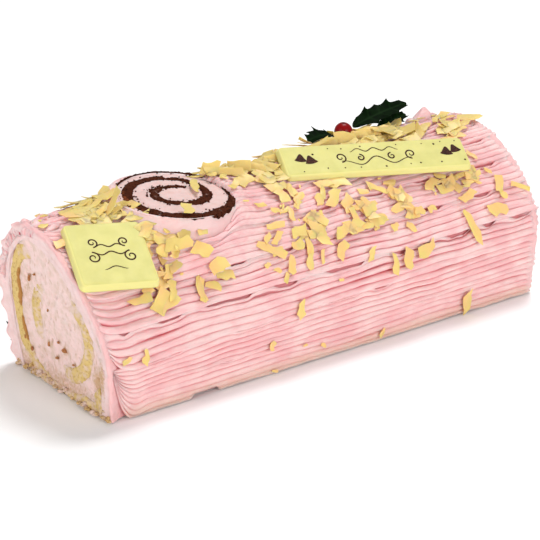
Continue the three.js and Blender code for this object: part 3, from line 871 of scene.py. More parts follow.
@dataclass
class RolledCore:
    """The sponge roll and its filling, which show at both cut ends."""

    roll: RollShape
    start: float = 120.0
    turns: float = 1.7
    thickness: float = 8.6
    hugs: float = 215.0
    recess: float = 0.45
    cells: tuple[int, int, int] = (560, 14, 3)
    sheet_clock: Row = (
        120, 128, 144, 173, 192, 211, 226, 235, 245, 259, 280, 295, 308, 323, 345, 375, 395, 407,
        419, 435, 441, 458, 481, 495, 508, 531, 551, 568, 586, 612, 643, 693, 732,
    )
    sheet_radius: Row = (
        47, 45.5, 42, 37.5, 37.8, 38.5, 37, 35.2, 33, 31.3, 30.2, 31.6, 33.5, 35.2, 31, 25, 22, 23.7,
        26, 29.6, 31.2, 32, 30.6, 29.5, 28.1, 25.3, 23.2, 20.5, 17, 14.6, 13.4, 14, 12.5,
    )
    smear_clock: Row = (
        120, 140, 184, 204, 224, 234, 314, 328, 345, 395,
        420, 450, 498, 512, 540, 575, 590, 640, 690, 732,
    )
    smear_share: Row = (
        0.3, 0.5, 0.6, 0.5, 0.5, 0, 0, 0.5, 0.95, 0.9,
        0.55, 0.4, 0.25, 0.45, 0.8, 0.85, 0.6, 0.35, 0.5, 0.95,
    )
    spots: tuple[Row, ...] = ((0.9, -36, 16, 7, 13), (0.45, 20, 48, 9, 16))
    bits: tuple[Triple, ...] = (
        (28.9, 19.4, 1.9), (-7, 24.8, 2.3), (6.8, 23.3, 1.6), (0.8, 18.2, 1.5), (17.3, 54, 1.8),
        (-2.5, 27.5, 1.2), (24.5, 14.5, 1.6), (12, 57.5, 1.1), (3.5, 42, 0.9), (-14, 20, 1),
    )

    def clock(self, u: Array) -> Array:
        """Clock angle at a share of the sheet, in radians."""
        return np.radians(self.start + 360 * self.turns * u)

    def course(self, clock: Array) -> Array:
        """Radius of the sheet's middle: it hugs the lining at first, then rolls in."""
        degrees = np.degrees(clock)
        radius = np.interp(degrees, self.sheet_clock, self.sheet_radius)
        at_lining = self.roll.radius(clock) - self.thickness / 2 + 0.3
        hug = np.clip((self.hugs - degrees) / 15, 0, 1)
        return radius + hug * np.maximum(0, at_lining - radius)

    def veil(self, u: Array) -> Array:
        """How much cream lies over the sheet's cut edge, along the spiral."""
        return np.interp(np.degrees(self.clock(u)), self.smear_clock, self.smear_share)

    def strip(self, u: Array, v: Array, w: Array) -> Array:
        """The sheet of sponge: u along the spiral, v across it and w along the log.

        Its cut edge stands proud of the filling in crumbs, and sinks below it where
        cream has been dragged over it.
        """
        log_shape = self.roll.log
        clock = self.clock(u)
        limit = self.roll.radius(clock)
        uneven = 0.7 * rough(5, 7, 2, clock * 22, w * 9)
        uneven = uneven + 0.35 * rough(6, 2, 2, clock * 22, v * 6, w * 9)
        thick = self.thickness * (0.86 + 0.22 * ripple(7, 9, clock * 22)) * ease(1 - u, -0.02, 0.035)
        radius = np.minimum(self.course(clock) + (v - 0.5) * thick + uneven, limit - 0.35)
        y, z = self.roll.point(clock, radius)
        crumb = 0.55 * rough(11, 2.4, 3, y, z, w * 50) + 0.7 * ripple(12, 6, y, z, w * 50)
        rounded = 1 - np.abs(2 * v - 1) ** 3
        bulge = (0.75 + crumb) * rounded - 2 * ease(self.veil(u), 0.55, 0.95) - 0.9 * self.veil(u)
        x = w * log_shape.length + np.where(w < 0.001, -bulge, 0) + np.where(w > 0.999, bulge, 0)
        return log_shape.row_frame(x, y, z)

    def strip_marks(self, u: Array, v: Array, w: Array) -> Marks:
        """Browned skin along both faces of the sheet, and cream smeared over it."""
        veil = self.veil(u)
        patchy = ease(ripple(13, 5, self.clock(u) * 22, v * 5), -0.5, 0.4)
        bare = 1 - ease(veil, 0.04, 0.3)
        rim = ease(np.abs(v - 0.5), 0.42 - 0.3 * patchy, 0.5) * bare * (0.35 + 0.65 * patchy)
        at_face = (w < 0.001) | (w > 0.999)
        return {"skin": rim, "smear": np.where(at_face, veil, 0.5)}

    def filling(self) -> Shell:
        """The cream between the turns, as rings out over one face and in at the other.

        Its edge runs a little over the coat's cut face, so that no line shows there.
        """
        log_shape = self.roll.log
        clock = np.linspace(0, 2 * math.pi, 421)[:-1]
        share = np.linspace(0.02, 1, 60)[:, None]
        limit = self.roll.radius(clock)[None, :]
        over = 3 + 2.4 * rough(38, 7, 3, clock[None, :] * 40)
        y, z = self.roll.point(clock[None, :], share * limit + over * ease(share, 0.9, 1))
        rings, stains = [], []
        for end, base in log_shape.faces():
            seed = 40 + end.value
            hills = 0.95 * rough(seed, 7, 4, y, z) + 0.3 * rough(seed + 3, 1.8, 2, y, z)
            holes = ease(rough(seed + 7, 3, 3, y, z * 0.7), 0.34, 0.6) * 1.6
            low = 0.8 * ease(26 - z, 0, 20) * rough(seed + 5, 3, 2, y, z)
            flat = ease(share, 0.93, 1)
            depth = blend(self.recess - hills + holes + low, 0.15 - 0.7 * hills, flat)
            ring = log_shape.row_frame(base - end.value * depth, y, z)
            stain = 0.5 * ease(holes, 0.2, 1.2)
            for bit_y, bit_z, size in self.bits:
                stain = np.maximum(stain, 0.75 * hump(np.hypot(y - bit_y, z - bit_z), 0, size * 1.5))
            patchy = 0.6 + 0.4 * rough(seed + 9, 9, 2, y, z)
            stain = np.maximum(stain, 0.95 * ease(24 - z, 0, 22) * patchy)
            for strength, spot_y, spot_z, half_y, half_z in self.spots:
                off = np.hypot((y - spot_y) / half_y, (z - spot_z) / half_z)
                stain = np.maximum(stain, strength * hump(off, 0, 1))
            rings.append(ring[:: -end.value])
            stains.append(stain[:: -end.value])
        marks = {"stain": np.concatenate(stains)}
        marks["warm_and_shade"] = np.zeros_like(marks["stain"])
        return ring_shell(np.concatenate(rings), marks)

    def fruit(self) -> Shell:
        """Candied bits pressed into both cut faces."""
        log_shape = self.roll.log
        shells = []
        for end, base in log_shape.faces():
            for index, (y, z, size) in enumerate(self.bits):
                middle = log_shape.row_frame(base, y, z)
                shares = (0.6, 0.8, 0.45) if index % 2 else (0.5, 0.35, 0.9)
                axes = [size * share for share in shares]
                shells.append(lump(middle, axes, 70 + index + 20 * (end is End.LEANING)))
        return Shell.joined(shells)

    def build(self) -> None:
        """Makes the sponge, the filling and the bits of fruit."""
        yellow = Sponge("yellow_sponge", (233, 202, 132), (212, 171, 104), (190, 136, 76))
        fruit = Sponge("candied_fruit", (200, 138, 90), (156, 92, 56), (120, 66, 38), pore=0.8)
        strip = block_shell(self.cells, self.strip, self.strip_marks)
        cream = SmearedCream(scratched=0.55)
        make_piece("sponge_roll", strip, yellow.material(), Slot.SPONGE, ["sponge_spiral"])
        make_piece("filling_roll", self.filling(), cream.material(), Slot.FILLING, ["filling_spiral"])
        bits = plain(self.fruit(), ("skin", "smear"))
        bits.marks["smear"] += 0.1
        make_piece("candied_bits", bits, fruit.material(), Slot.FILLING)


# ---- the cut branch


@dataclass
class CutBranch:
    """A slice of rolled chocolate sponge on top, as the stump of a cut branch.

    Its own frame has the origin in the middle of its face and z along its axis.
    """

    log: LogShape
    centre: Triple = (64.9, 0.75, 85.0)
    lean: tuple[float, float] = (0.065, -0.073)
    radius: float = 29.6
    skirt: float = 1.8
    sunk: float = 2.6
    turned_by: float = -36.6
    swollen: float = 307.0
    swell_width: float = 52.0
    cells: tuple[int, int, int] = (1100, 10, 2)
    crumb_count: int = 150
    bank_clock: Row = (-180, -110, -77, -37, -7, 13, 43, 80, 125, 180)
    bank_height: Row = (0, 0, 2.5, 6, 8.2, 8.6, 8, 5, 0, 0)
    sheet_clock: Row = (-80, -30, 20, 62, 93, 180, 270, 360, 450, 540, 630, 720, 747)
    sheet_radius: Row = (
        0.95, 0.985, 0.99, 0.975, 0.93, 0.86, 0.75, 0.71, 0.53, 0.30, 0.33, 0.30, 0.45,
    )
    sheet_thickness: Row = (0.4, 0.8, 1, 2.2, 4.6, 5.6, 5.8, 3.6, 5.4, 4.4, 5.2, 3.2, 1.2)

    def __post_init__(self) -> None:
        """Works out the branch's frame."""
        axis = Vector((*self.lean, 1)).normalized()
        turn = Vector((0, 0, 1)).rotation_difference(axis)
        self.turn = np.array(turn.to_matrix())
        self.origin = self.log.moved(self.centre)

    def to_row(self, x: Array, y: Array, z: Array) -> Array:
        """Row-frame points of places in the branch's frame."""
        return np.stack(np.broadcast_arrays(x, y, z), axis=-1) @ self.turn.T + self.origin

    def local(self, points: Array) -> tuple[Array, Array, Array]:
        """Clock angle from the front, distance from the axis and height of row-frame points."""
        x, y, z = np.moveaxis((points - self.origin) @ self.turn, -1, 0)
        return np.arctan2(x, -y), np.hypot(x, y), z

    def cover(self, points: Array) -> Array:
        """1 where row-frame points lie under the branch, falling to 0 at its side."""
        _, reach, z = self.local(points)
        return (1 - ease(reach, self.radius - 3.5, self.radius - 1.5)) * ease(z, -24, -20)

    def near(self, points: Array) -> Array:
        """How high cream is banked up against the branch, in millimetres, at some points.

        It is highest at the front right and falls off over a centimetre.
        """
        clock, reach, z = self.local(points)
        high = np.interp(np.degrees(clock), self.bank_clock, self.bank_height)
        away = np.maximum(reach - self.radius, 0) / 9
        return high * np.exp(-(away**1.6)) * ease(z, -30, -24)

    def on_clock(self, radius: Array | float, clock: Array, z: Array | float) -> Array:
        """Row-frame points at a radius, a clock angle from the far side and a height."""
        return self.to_row(radius * np.sin(clock), radius * np.cos(clock), z)

    def depth(self, clock: Array) -> Array:
        """How far the side goes down until it is sunk in the coat, at a clock angle."""
        rim = self.on_clock(self.radius, clock, 0)
        x = rim[..., 0] - self.log.foot_x
        return rim[..., 2] - self.log.crest_height(x, rim[..., 1]) + self.sunk

    def cream(self) -> Shell:
        """The filling: rings out over the face, down the side and in underneath."""
        clock = np.linspace(0, 2 * math.pi, 241)[None, :-1]
        inner = self.radius - self.skirt - 0.3
        out = np.linspace(0.02, 1, 56)[:, None] * inner
        x, y = out * np.sin(clock), out * np.cos(clock)
        top = -0.5 + 0.5 * rough(3, 6, 3, x, y) - 0.5 * ease(out, inner - 1.5, inner)
        face = self.to_row(x, y, top)
        down = np.linspace(0.25, 1, 4)[:, None] * self.depth(clock)
        side = self.on_clock(inner, clock, -down)
        back = np.linspace(0.8, 0.05, 4)[:, None]
        under = self.on_clock(back * inner, clock, -self.depth(clock) * 0.9)
        rings = np.concatenate([face, side, under])
        stain = np.zeros(rings.shape[:2])
        stain[: len(out)] = 0.25 * ease(rough(8, 5, 2, x, y), 0.1, 0.7)
        return ring_shell(rings, {"stain": stain, "warm_and_shade": np.full(stain.shape, 0.55)})

    def sheet(self, share: Array) -> tuple[Array, Array, Array]:
        """Clock angle in radians, radius and thickness of the sheet along its length.

        The clock turns from the far side. Each value goes straight from one of the
        sheet's quarter turns to the next, and is then evened out over 40 degrees.
        """
        first, last = self.sheet_clock[0], self.sheet_clock[-1]
        clock = first + (last - first) * np.asarray(share, float)
        spread = np.linspace(-40, 40, 9)
        values = []
        near = [np.clip(clock + off, first, last) for off in spread]
        for table in (self.sheet_radius, self.sheet_thickness):
            parts = [np.interp(part, self.sheet_clock, table) for part in near]
            values.append(sum(parts) / len(parts))
        angle = np.radians(clock) - math.radians(self.turned_by)
        return angle, values[0] * self.radius, values[1]

    def strip(self, u: Array, v: Array, w: Array) -> Array:
        """The chocolate sheet: u along it, v across it and w up."""
        clock, middle, thick = self.sheet(u)
        jagged = 0.8 * rough(21, 2.6, 3, clock * 16, v * 5) + 0.35 * ripple(22, 0.9, clock * 16, v * 5)
        swell = thick * (1 + 0.14 * ripple(24, 6, clock * 14))
        radius = middle + (v - 0.5) * swell + jagged * np.abs(2 * v - 1) * ease(thick, 0.2, 2.5)
        radius = np.minimum(radius, self.radius - 0.2 + 0.5 * jagged)
        off = (np.degrees(clock) - self.swollen + 540) % 360 - 180
        radius = radius * (1 - 0.035 * np.exp(-((off / self.swell_width) ** 2)))
        x, y = radius * np.sin(clock), radius * np.cos(clock)
        crumb = 0.7 * rough(23, 1.5, 3, x, y) + 0.35 * ripple(25, 5, x, y)
        crumb = crumb - 0.5 * np.abs(2 * v - 1) ** 4
        z = np.where(w > 0.999, 0.15 + crumb, -self.depth(clock) * (1 - w) * 0.85 - 0.9)
        return self.to_row(x, y, z)

    def strip_marks(self, u: Array, v: Array, w: Array) -> Marks:
        """A reddish, lighter stretch of crumb at the front left of the outer turn."""
        clock = self.sheet_clock[0] + (self.sheet_clock[-1] - self.sheet_clock[0]) * u
        light = 0.75 * hump(clock, 236, 40) * ease(v, 0.2, 0.9) + 0.3 * hump(clock, 160, 30)
        light = light + 0.3 * hump(clock, 560, 60)
        return {"skin": np.clip(light, 0, 1), "smear": 0 * u}

    def side(self) -> Shell:
        """The smooth cream round the side: a profile carried round the slice.

        The profile goes up the outside, over the lip and down inside. Its foot
        flares where it meets the coat.
        """
        clock = np.linspace(0, 2 * math.pi, 289)[:-1, None]
        depth = self.depth(clock)
        up = np.linspace(0, 1, 16)[None, :]
        hills = rough(31, 12, 2, self.radius * np.sin(clock), self.radius * np.cos(clock), up * 6)
        flare = 3.4 * (1 - up) ** 2 + 1.1 * np.sin(math.pi * up)
        streak = 0.3 * rough(35, 3.2, 2, clock * self.radius, up * 4)
        away = (np.degrees(clock) - self.swollen) / self.swell_width
        swell = 2.4 * np.exp(-(away**2)) * (0.55 + 0.45 * up)
        outer = self.radius - 0.9 * up**5 + flare + 0.6 * hills + streak + swell
        outer_z = -depth + (depth - 1) * up
        lip = np.array([[-0.5, -0.62], [-1.1, -0.45], [-1.8, -0.6], [-2.3, -1.2]])
        hill, full = hills[:, -1:], swell[:, -1:]
        lip_r = self.radius + lip[None, :, 0] * (1 + 0.5 * full) + 0.15 * hill + full
        lip_z = lip[None, :, 1] + 0.2 * hill
        inner = np.full((len(clock), 1), self.radius - self.skirt - 0.5)
        radius = np.concatenate([outer, lip_r, inner, inner], axis=1)
        z = np.concatenate([outer_z, lip_z, -depth * 0.5, -depth], axis=1)
        points = self.on_clock(radius, clock, z)
        # painted shade: deeper pink on the lowest rings of the skirt, where it meets the coat
        groove_shade = np.zeros(radius.shape)
        groove_shade[:, :3] = 0.35
        return ring_shell(points, {"groove_shade": groove_shade, "foot": 0 * groove_shade}, looped=True)

    def crumbs(self) -> Shell:
        """Dark crumbs that have come off the sheet onto the cream beside it."""
        rng = np.random.default_rng(14)
        shells = []
        for index in range(self.crumb_count):
            clock, middle, thick = (float(value) for value in self.sheet(rng.uniform(0, 1)))
            radius = middle + rng.choice([-1, 1]) * (thick / 2 + rng.uniform(-0.2, 1) ** 2 * 2.2)
            if radius > self.radius - 0.8:
                continue
            middle = self.on_clock(radius, clock, -0.2)
            size = rng.uniform(0.2, 0.7)
            shells.append(lump(middle, (size, size * 0.8, size * 0.6), 300 + index, rng.uniform(0, 6)))
        return plain(Shell.joined(shells), ("skin", "smear"))

    def build(self) -> None:
        """Makes the cream, the chocolate sheet, the side and the loose crumbs."""
        dark = Sponge("chocolate_sponge", (80, 40, 26), (20, 6, 4), (150, 82, 50), pore=1.1, gloss=0.03)
        chocolate = dark.material()
        pinks = (240, 212, 206), (228, 190, 178), (242, 204, 200)
        cream = SmearedCream("branch_cream", *pinks, crumb=(120, 66, 44))
        # the skirt cream's third colour is painted shade for the skirt's foot
        side = Buttercream("skirt_cream", (249, 214, 211), (247, 205, 203), (234, 164, 164))
        make_piece("branch_cream", self.cream(), cream.material(), Slot.FILLING, ["branch_filling"])
        strip = block_shell(self.cells, self.strip, self.strip_marks)
        make_piece("branch_sheet", strip, chocolate, Slot.CHOCOLATE_SPONGE, ["branch_sponge"])
        make_piece("branch_side", self.side(), side.material(), Slot.BUTTERCREAM, ["branch_skirt"])
        make_piece("branch_crumbs", self.crumbs(), chocolate, Slot.CHOCOLATE_SPONGE)


# ---- the piped coat


# where the cream has parted, by seam from the front foot: start, stop and width of the gap
CRACKS = {
    1: ((60, 78, 0.2),),
    2: ((10, 44, 0.3), (66, 100, 0.1), (112, 146, 0.15), (148, 165, 1.1)),
    3: ((6, 18, 0.7), (26, 46, 0.3), (52, 84, 0.2), (92, 110, 0.4), (122, 150, 0.2), (162, 176, 1.4),
        (180, 192, 0.9), (196, 216, 1.8), (219, 232, 2.2), (238, 256, 0.5)),
    4: ((70, 88, 0.3), (104, 116, 0.8), (150, 164, 0.6), (180, 206, 1.1), (222, 238, 1.4)),
    5: ((102, 112, 0.8), (132, 148, 1), (162, 180, 1.1), (192, 216, 0.5), (226, 250, 0.8)),
    6: ((112, 140, 0.6), (228, 254, 0.7)),
    7: ((110, 136, 0.7), (240, 256, 1.1)),
    8: ((14, 34, 0.8), (190, 240, 0.4)),
    10: ((44, 80, 0.4),),
    11: ((130, 180, 0.3),),
}


@dataclass
class PipedCoat:
    """Buttercream over the roll: a smooth undercoat, and ribbons piped on it.

    A ribbon runs the whole length, a few ridges wide, and overlaps its neighbours.

    Attributes:
        seat: depth of a ribbon's underside, below the arch line.
        band: where the ribbons start along the log.
        lining: depth of the coat's inner face.
        gathered: how high the three front ribbons start at the leaning end.
        fanned: how strongly they are drawn up there.
        branch_reach: where the cut branch stands round the arch.
        spike: place round the arch, width and length of a thread pulled out.
        notch: place along the log, half width and height in the front foot.
        rim_lumps: place round the arch, width and height.
        dollops: place along the log and round the arch, half sizes and turn.
    """

    log: LogShape
    branch: CutBranch
    ribbons: int = 14
    ridges: tuple[int, ...] = (6, 6, 5, 5, 5, 5, 6, 5, 5, 6, 5, 5, 6, 5)
    ribbon_width: float = 18.8
    across: int = 61
    stations: int = 401
    ridge_depth: float = 1.9
    undercoat: float = 2.9
    seat: float = 5.2
    band: float = 0.7
    lining: float = 8.05
    gathered: Triple = (33.0, 33.0, 45.5)
    fanned: Triple = (0.74, 0.74, 0.6)
    branch_reach: float = 110.0
    spike: Triple = (49.0, 1.6, 5.2)
    notch: Triple = (52.0, 9.0, 2.4)
    rim_lumps: tuple[Triple, ...] = (
        (167, 4.5, 2.6), (176, 3, 1.4), (128, 4, 1.5), (119, 3, 1),
        (150, 3.5, 1.2), (188, 3, 1.2), (203, 3.5, 1.2), (212, 3, 1.3),
    )
    dollops: tuple[Row, ...] = (
        (238.5, 130.5, 7.5, 4.2, 5.6, 0.1), (232.5, 131.5, 4.6, 3, 2.6, 0.5),
        (245.5, 129.5, 4.4, 3, 2.2, 1.2), (3, 123, 3, 3.4, 2.4, 0.6), (4.5, 115, 3.6, 3, 1.7, 1.4),
        (2.5, 131, 2.4, 3.4, 1.8, 0.1), (12, 126, 4.6, 2.4, 1.6, 0.4), (18, 121, 4.8, 2.2, 1.4, 0.2),
        (9, 108, 4, 2, 1.3, 0.3),
    )

    def pitch(self, x: Array) -> Array:
        """Distance round the arch from one seam to the next."""
        return self.log.total(x) / self.ribbons

    def flow(self, ribbon: int, rest: Array, x: Array) -> Array:
        """How far a thread of cream strays round the arch from its even place.

        Slow waves run along the log. At the leaning end the front ribbons start
        gathered high on the corner and fan out down it, by an exponential of the
        distance from the end, and the third ribbon sags for a hand's breadth. The
        threads part round the cut branch.
        """
        free = np.clip(np.minimum(rest, self.log.total(x) - rest) / 14, 0, 1)
        waves = 1.2 * ripple(50, 40, x, rest * 0.9) + 0.6 * ripple(51, 16, x, rest * 1.4)
        own = 0.8 * ripple(60 + ribbon, 50, x) + 0.45 * ripple(80 + ribbon, 13, x)
        sag = -4.4 * np.sin(math.pi * np.clip((rest - 13) / 35, 0, 1)) * np.exp(-np.maximum(x, 0) / 42)
        if ribbon < len(self.gathered):
            rise = self.fanned[ribbon] * np.maximum(self.gathered[ribbon] - rest, 0)
        else:
            rise = (3 if ribbon < 8 else 0) + 0 * rest
        past = np.maximum(x - 2.6, 0)
        hook = rise * np.exp(-past / 3.4) - 0.12 * rise * hump(past, 11, 5.5)
        return free * (waves + own) + sag + hook + self.parting(rest, x)

    def parting(self, rest: Array, x: Array) -> Array:
        """How far the threads on the front of the branch are pushed down round it."""
        radius = self.branch.radius
        across = (rest - self.branch_reach) / (radius + 4)
        off = np.hypot((x - self.branch.centre[0]) / radius, across)
        front = ease(self.branch_reach - rest, 4, 20)
        return -5 * front * np.exp(-np.maximum(off - 1, 0) / 0.16) * ease(off, 0.5, 1)

    def lift(self, x: Array) -> Array:
        """Height of the coat's lower edge: nearly none, but for a notch in front."""
        middle, width, height = self.notch
        uneven = 0.8 + 0.5 * ripple(91, 9, x) + 0.35 * ripple(92, 2.4, x)
        return uneven + height * ease(width - np.abs(x - middle), 0, 3)

    def parted(self, seam: int, x: Array) -> Array:
        """How far the upper edge of the ribbon below a seam draws back from it.

        It draws back by the overlap and the gap inside a crack, whose width wavers
        along it and closes here and there, and by nothing elsewhere.
        """
        overlap = self.ribbon_width - self.log.total(0) / self.ribbons
        back = 0 * x
        waver = 0.75 + 0.7 * ripple(seam, 5, x) + 0.6 * ripple(seam + 20, 1.8, x)
        for start, stop, gap in CRACKS.get(seam, ()):
            inside = ease(np.minimum(x - start, stop - x), -1, 6)
            back = np.maximum(back, inside * (overlap + gap * waver * 0.7 - 0.25))
        return back

    def tatter(self, rest: Array) -> Array:
        """How torn the cream is: little on the front, most on the crown."""
        return 0.25 + 0.75 * ease(rest, 66, 104) * ease(200 - rest, 0, 30)

    def profile(self, ribbon: int, v: Array, x: Array, rest: Array) -> tuple[Array, Array]:
        """Depth of a ribbon's top below the arch line, and its groove mark of painted shade.

        Each ridge is a rounded hump (1 - |2p - 1|^2)^0.7 of its phase p. Each valley
        and each ridge has its own depth, which changes along the log. The ribbon's
        lower edge stands proud, and its upper edge is tucked under the next one's. The
        mark is painted shade: highest in the grooves, at the ribbon's edges and where
        the cream is ripped, and a little weaker on the upper front.
        """
        seed = 100 + 9 * ribbon
        torn = self.tatter(rest)
        lull = 0.55 * ease(18 - x, 0, 14) * ease(rest, 150, 175)
        upper = ease(rest, 46, 66) * ease(124 - rest, 0, 20)
        lull = lull + 0.24 * upper
        sway = 0.075 * ripple(seed, 46, x, v * 14) + 0.02 * ripple(seed + 1, 11, x, v * 26)
        bent = v + np.sin(math.pi * v) * sway
        phase = self.ridges[ribbon] * bent
        number = np.clip(np.floor(phase), 0, self.ridges[ribbon] - 1)
        part = np.clip(phase - number, 0, 1)
        crest = np.clip(1 - np.abs(2 * part - 1) ** 2, 0, 1) ** 0.7

        def groove_depth(line: Array) -> Array:
            """Depth of one line between ridges along the log, now and then much deeper."""
            slow = ripple(seed + 2, 30, x, line * 97)
            quick = ripple(seed + 3, 9, x, line * 61)
            deep = 0.75 * ease(slow + 0.4 * quick, 0.35, 0.9)
            return self.ridge_depth * (0.72 + 0.5 * slow + 0.16 * quick + deep)

        depth = blend(groove_depth(number), groove_depth(number + 1), part)
        depth = np.maximum(depth, 0.35) * (1 - lull)
        ridge = 0.3 + 0.4 * (1 + ripple(seed + 4, 1.2, phase, x / 26)) * blend(0.5, 1, torn)
        side = -1 if ribbon >= 9 else 1
        tilt = side * (1.15 + 0.6 * ripple(seed + 5, 60, x))
        body = ridge + depth * (1 - crest) * blend(0.85, 1.15, torn) + tilt * (v - 0.5)
        thread = np.maximum(np.cos(6 * math.pi * part), 0) * 0.16
        thread = thread * (1 + ripple(seed + 6, 20, x, number * 11))
        ragged = 0.45 * rough(seed + 7, 5, 2, x, v * 18) + 0.3 * rough(seed + 8, 1.9, 2, x, v * 18)
        ragged = torn * ragged
        ripped = 0.7 * torn * ease(rough(seed + 9, 4.2, 2, x * 0.6, v * 18), 0.42, 0.75)
        body = body + thread + ragged + ripped + 0.12 * rough(seed + 10, 1.5, 2, x, v * 18)
        edge = ease(v, 0, 0.05) * ease(1 - v, 0, 0.05)
        # painted shade: highest in the grooves, at the ribbon's edges and where the cream is ripped, a
        # little less on the upper front
        groove_shade = (1 - crest) * (0.45 + 0.28 * depth) + (1 - edge) * 0.9 + ripped * 0.3
        groove_shade = np.clip(groove_shade, 0, 1) * (1 - 0.12 * upper)
        return blend(self.seat, np.maximum(body, 0.02), edge**0.55), groove_shade

    def ends(self, ribbon: int, v: Array) -> tuple[Array, Array]:
        """Where the threads of a ribbon start and stop along the log."""
        rest = self.pitch(0) * (ribbon + 0.5) + (v - 0.5) * self.ribbon_width
        ridge = np.abs((self.ridges[ribbon] * v) % 1 - 0.5) * 2
        first = self.band - 1 * ease(34 - rest, 0, 8)
        first = first - 1.5 * rough(140 + ribbon, 3.5, 3, rest) + 0.9 * ridge
        crown = ease(rest, 96, 112) * ease(178 - rest, 0, 10)
        first = first - crown * 2.6 * (1 + ripple(141, 6, rest))
        last = self.log.length + 0.4 + 1.2 * rough(160 + ribbon, 3.6, 3, rest)
        last = last + 1.1 * ripple(5 + ribbon, 40, rest)
        last = last - 0.9 * ridge**2 - 1.6 * ease(rough(165 + ribbon, 7, 2, rest), 0.1, 0.5)
        place, width, reach = self.spike
        pulled = hump(rest, place, width) * (ribbon == 2)
        return first, last + pulled * (self.log.length + reach - last)

    def ribbon(self, ribbon: int) -> Shell:
        """One piped ribbon, as rings across it from end to end."""
        v = np.linspace(0, 1, self.across)[None, :]
        t = np.linspace(0, 1, self.stations)[:, None]
        middle = self.across // 2
        spaced = t - 0.085 * np.sin(2 * math.pi * t)
        first, last = self.ends(ribbon, v[0])
        x = first + (last - first) * spaced
        along = x[:, [middle]]
        drawn = self.parted(ribbon + 1, along) * v**5
        width = self.ribbon_width * (1 + 0.04 * ripple(180 + ribbon, 33, x))
        torn = self.tatter(self.pitch(0) * (ribbon + 0.5))
        frayed = 0.5 * rough(200 + ribbon, 9, 2, x, v * 6)
        frayed = frayed + 0.22 * ripple(220 + ribbon, 2.3, x, v * 9)
        frayed = frayed * ease(np.abs(2 * v - 1), 0.2, 1) * blend(0.5, 1.3, torn)
        rest = self.pitch(x) * (ribbon + 0.5) + (v - 0.5) * width - drawn + frayed
        reach = rest + self.flow(ribbon, rest, x)
        depth, groove_shade = self.profile(ribbon, v, x, rest)
        end = np.minimum((x - first) / 2.2, (last - x) / 1.5)
        rounding = np.sqrt(np.clip(1 - (1 - np.clip(end, 0, 1)) ** 2, 0, 1))
        depth = blend(self.seat, depth, rounding)
        reach = self.kept_on(reach, x)
        points = self.log.place(x, reach, -depth)
        near, sunk = self.branch.near(points), self.branch.cover(points)
        depth = blend(depth - near, 8, sunk)
        top = self.log.place(x, reach, -depth)
        low_side = blend(self.seat + 0.3, 8.2, sunk)
        bottom = [self.log.place(x[:, [k]], reach[:, [k]], -low_side[:, [k]]) for k in (-1, middle, 0)]
        rings = np.concatenate([top, *bottom], axis=1)
        foot = 1 - ease(reach, 0, 12) * ease(self.log.total(x) - reach, 0, 12)
        ends = np.minimum(x - first, last - x)[:, [0, middle, -1]]
        # painted shade on the ribbon's sides and underside, left out near its ends, and less past the
        # log's end
        under = {"groove_shade": ease(ends, 3, 9), "foot": 0 * ends}
        past = ease(x - self.log.length, -1.5, 1)
        marks = {"groove_shade": groove_shade * blend(1, 0.15, past), "foot": foot}
        for name, mark in marks.items():
            marks[name] = np.concatenate([mark + 0 * x, under[name]], axis=1)
        return ring_shell(rings, marks)

    def kept_on(self, reach: Array, x: Array) -> Array:
        """Reach kept between the two feet by a smooth limit, so no thread folds."""
        low, total = self.lift(x), self.log.total(x)
        front = low + 0.5 * (reach - low + np.sqrt((reach - low) ** 2 + 1.2))
        back = total - front
        return total - 0.5 * (back + np.sqrt(back**2 + 1.2))

    def lumps(self, reach: Array) -> Array:
        """Dollops of cream on the rim of the leaning end, by place round the arch."""
        return sum(height * hump(reach, place, width) for place, width, height in self.rim_lumps)

    def tufts(self) -> Shell:
        """Dollops of cream that stand up from the coat: a big one behind the leaves."""
        unit = ball(22, 36, 0.47)
        unit_x, unit_y, unit_z = np.moveaxis(unit, -1, 0)
        shells = []
        for index, (x, reach, long, wide, high, turn) in enumerate(self.dollops):
            push = 0.3 * rough(350 + index, 1.5, 2, unit_x, unit_y, unit_z)
            push = push + 0.1 * rough(370 + index, 0.4, 3, unit_x * 0.35, unit_y, unit_z)
            body = unit * (1 + push)[..., None]
            body[..., :2] *= (1 - 0.55 * np.clip(body[..., 2], 0, 1))[..., None]
            body[..., 0] += 0.35 * np.maximum(body[..., 2], 0) * math.cos(3 * index)
            along = body[..., 0] * long * math.cos(turn) - body[..., 1] * wide * math.sin(turn)
            across = body[..., 0] * long * math.sin(turn) + body[..., 1] * wide * math.cos(turn)
            points = self.log.place(x + along, reach + across, body[..., 2] * high - 0.6)
            # painted shade: deeper pink where a dollop's surface is pushed in
            groove_shade = ease(-push, 0.02, 0.2) * 0.7
            shells.append(ring_shell(points, {"groove_shade": groove_shade, "foot": 0 * groove_shade}))
        return Shell.joined(shells)

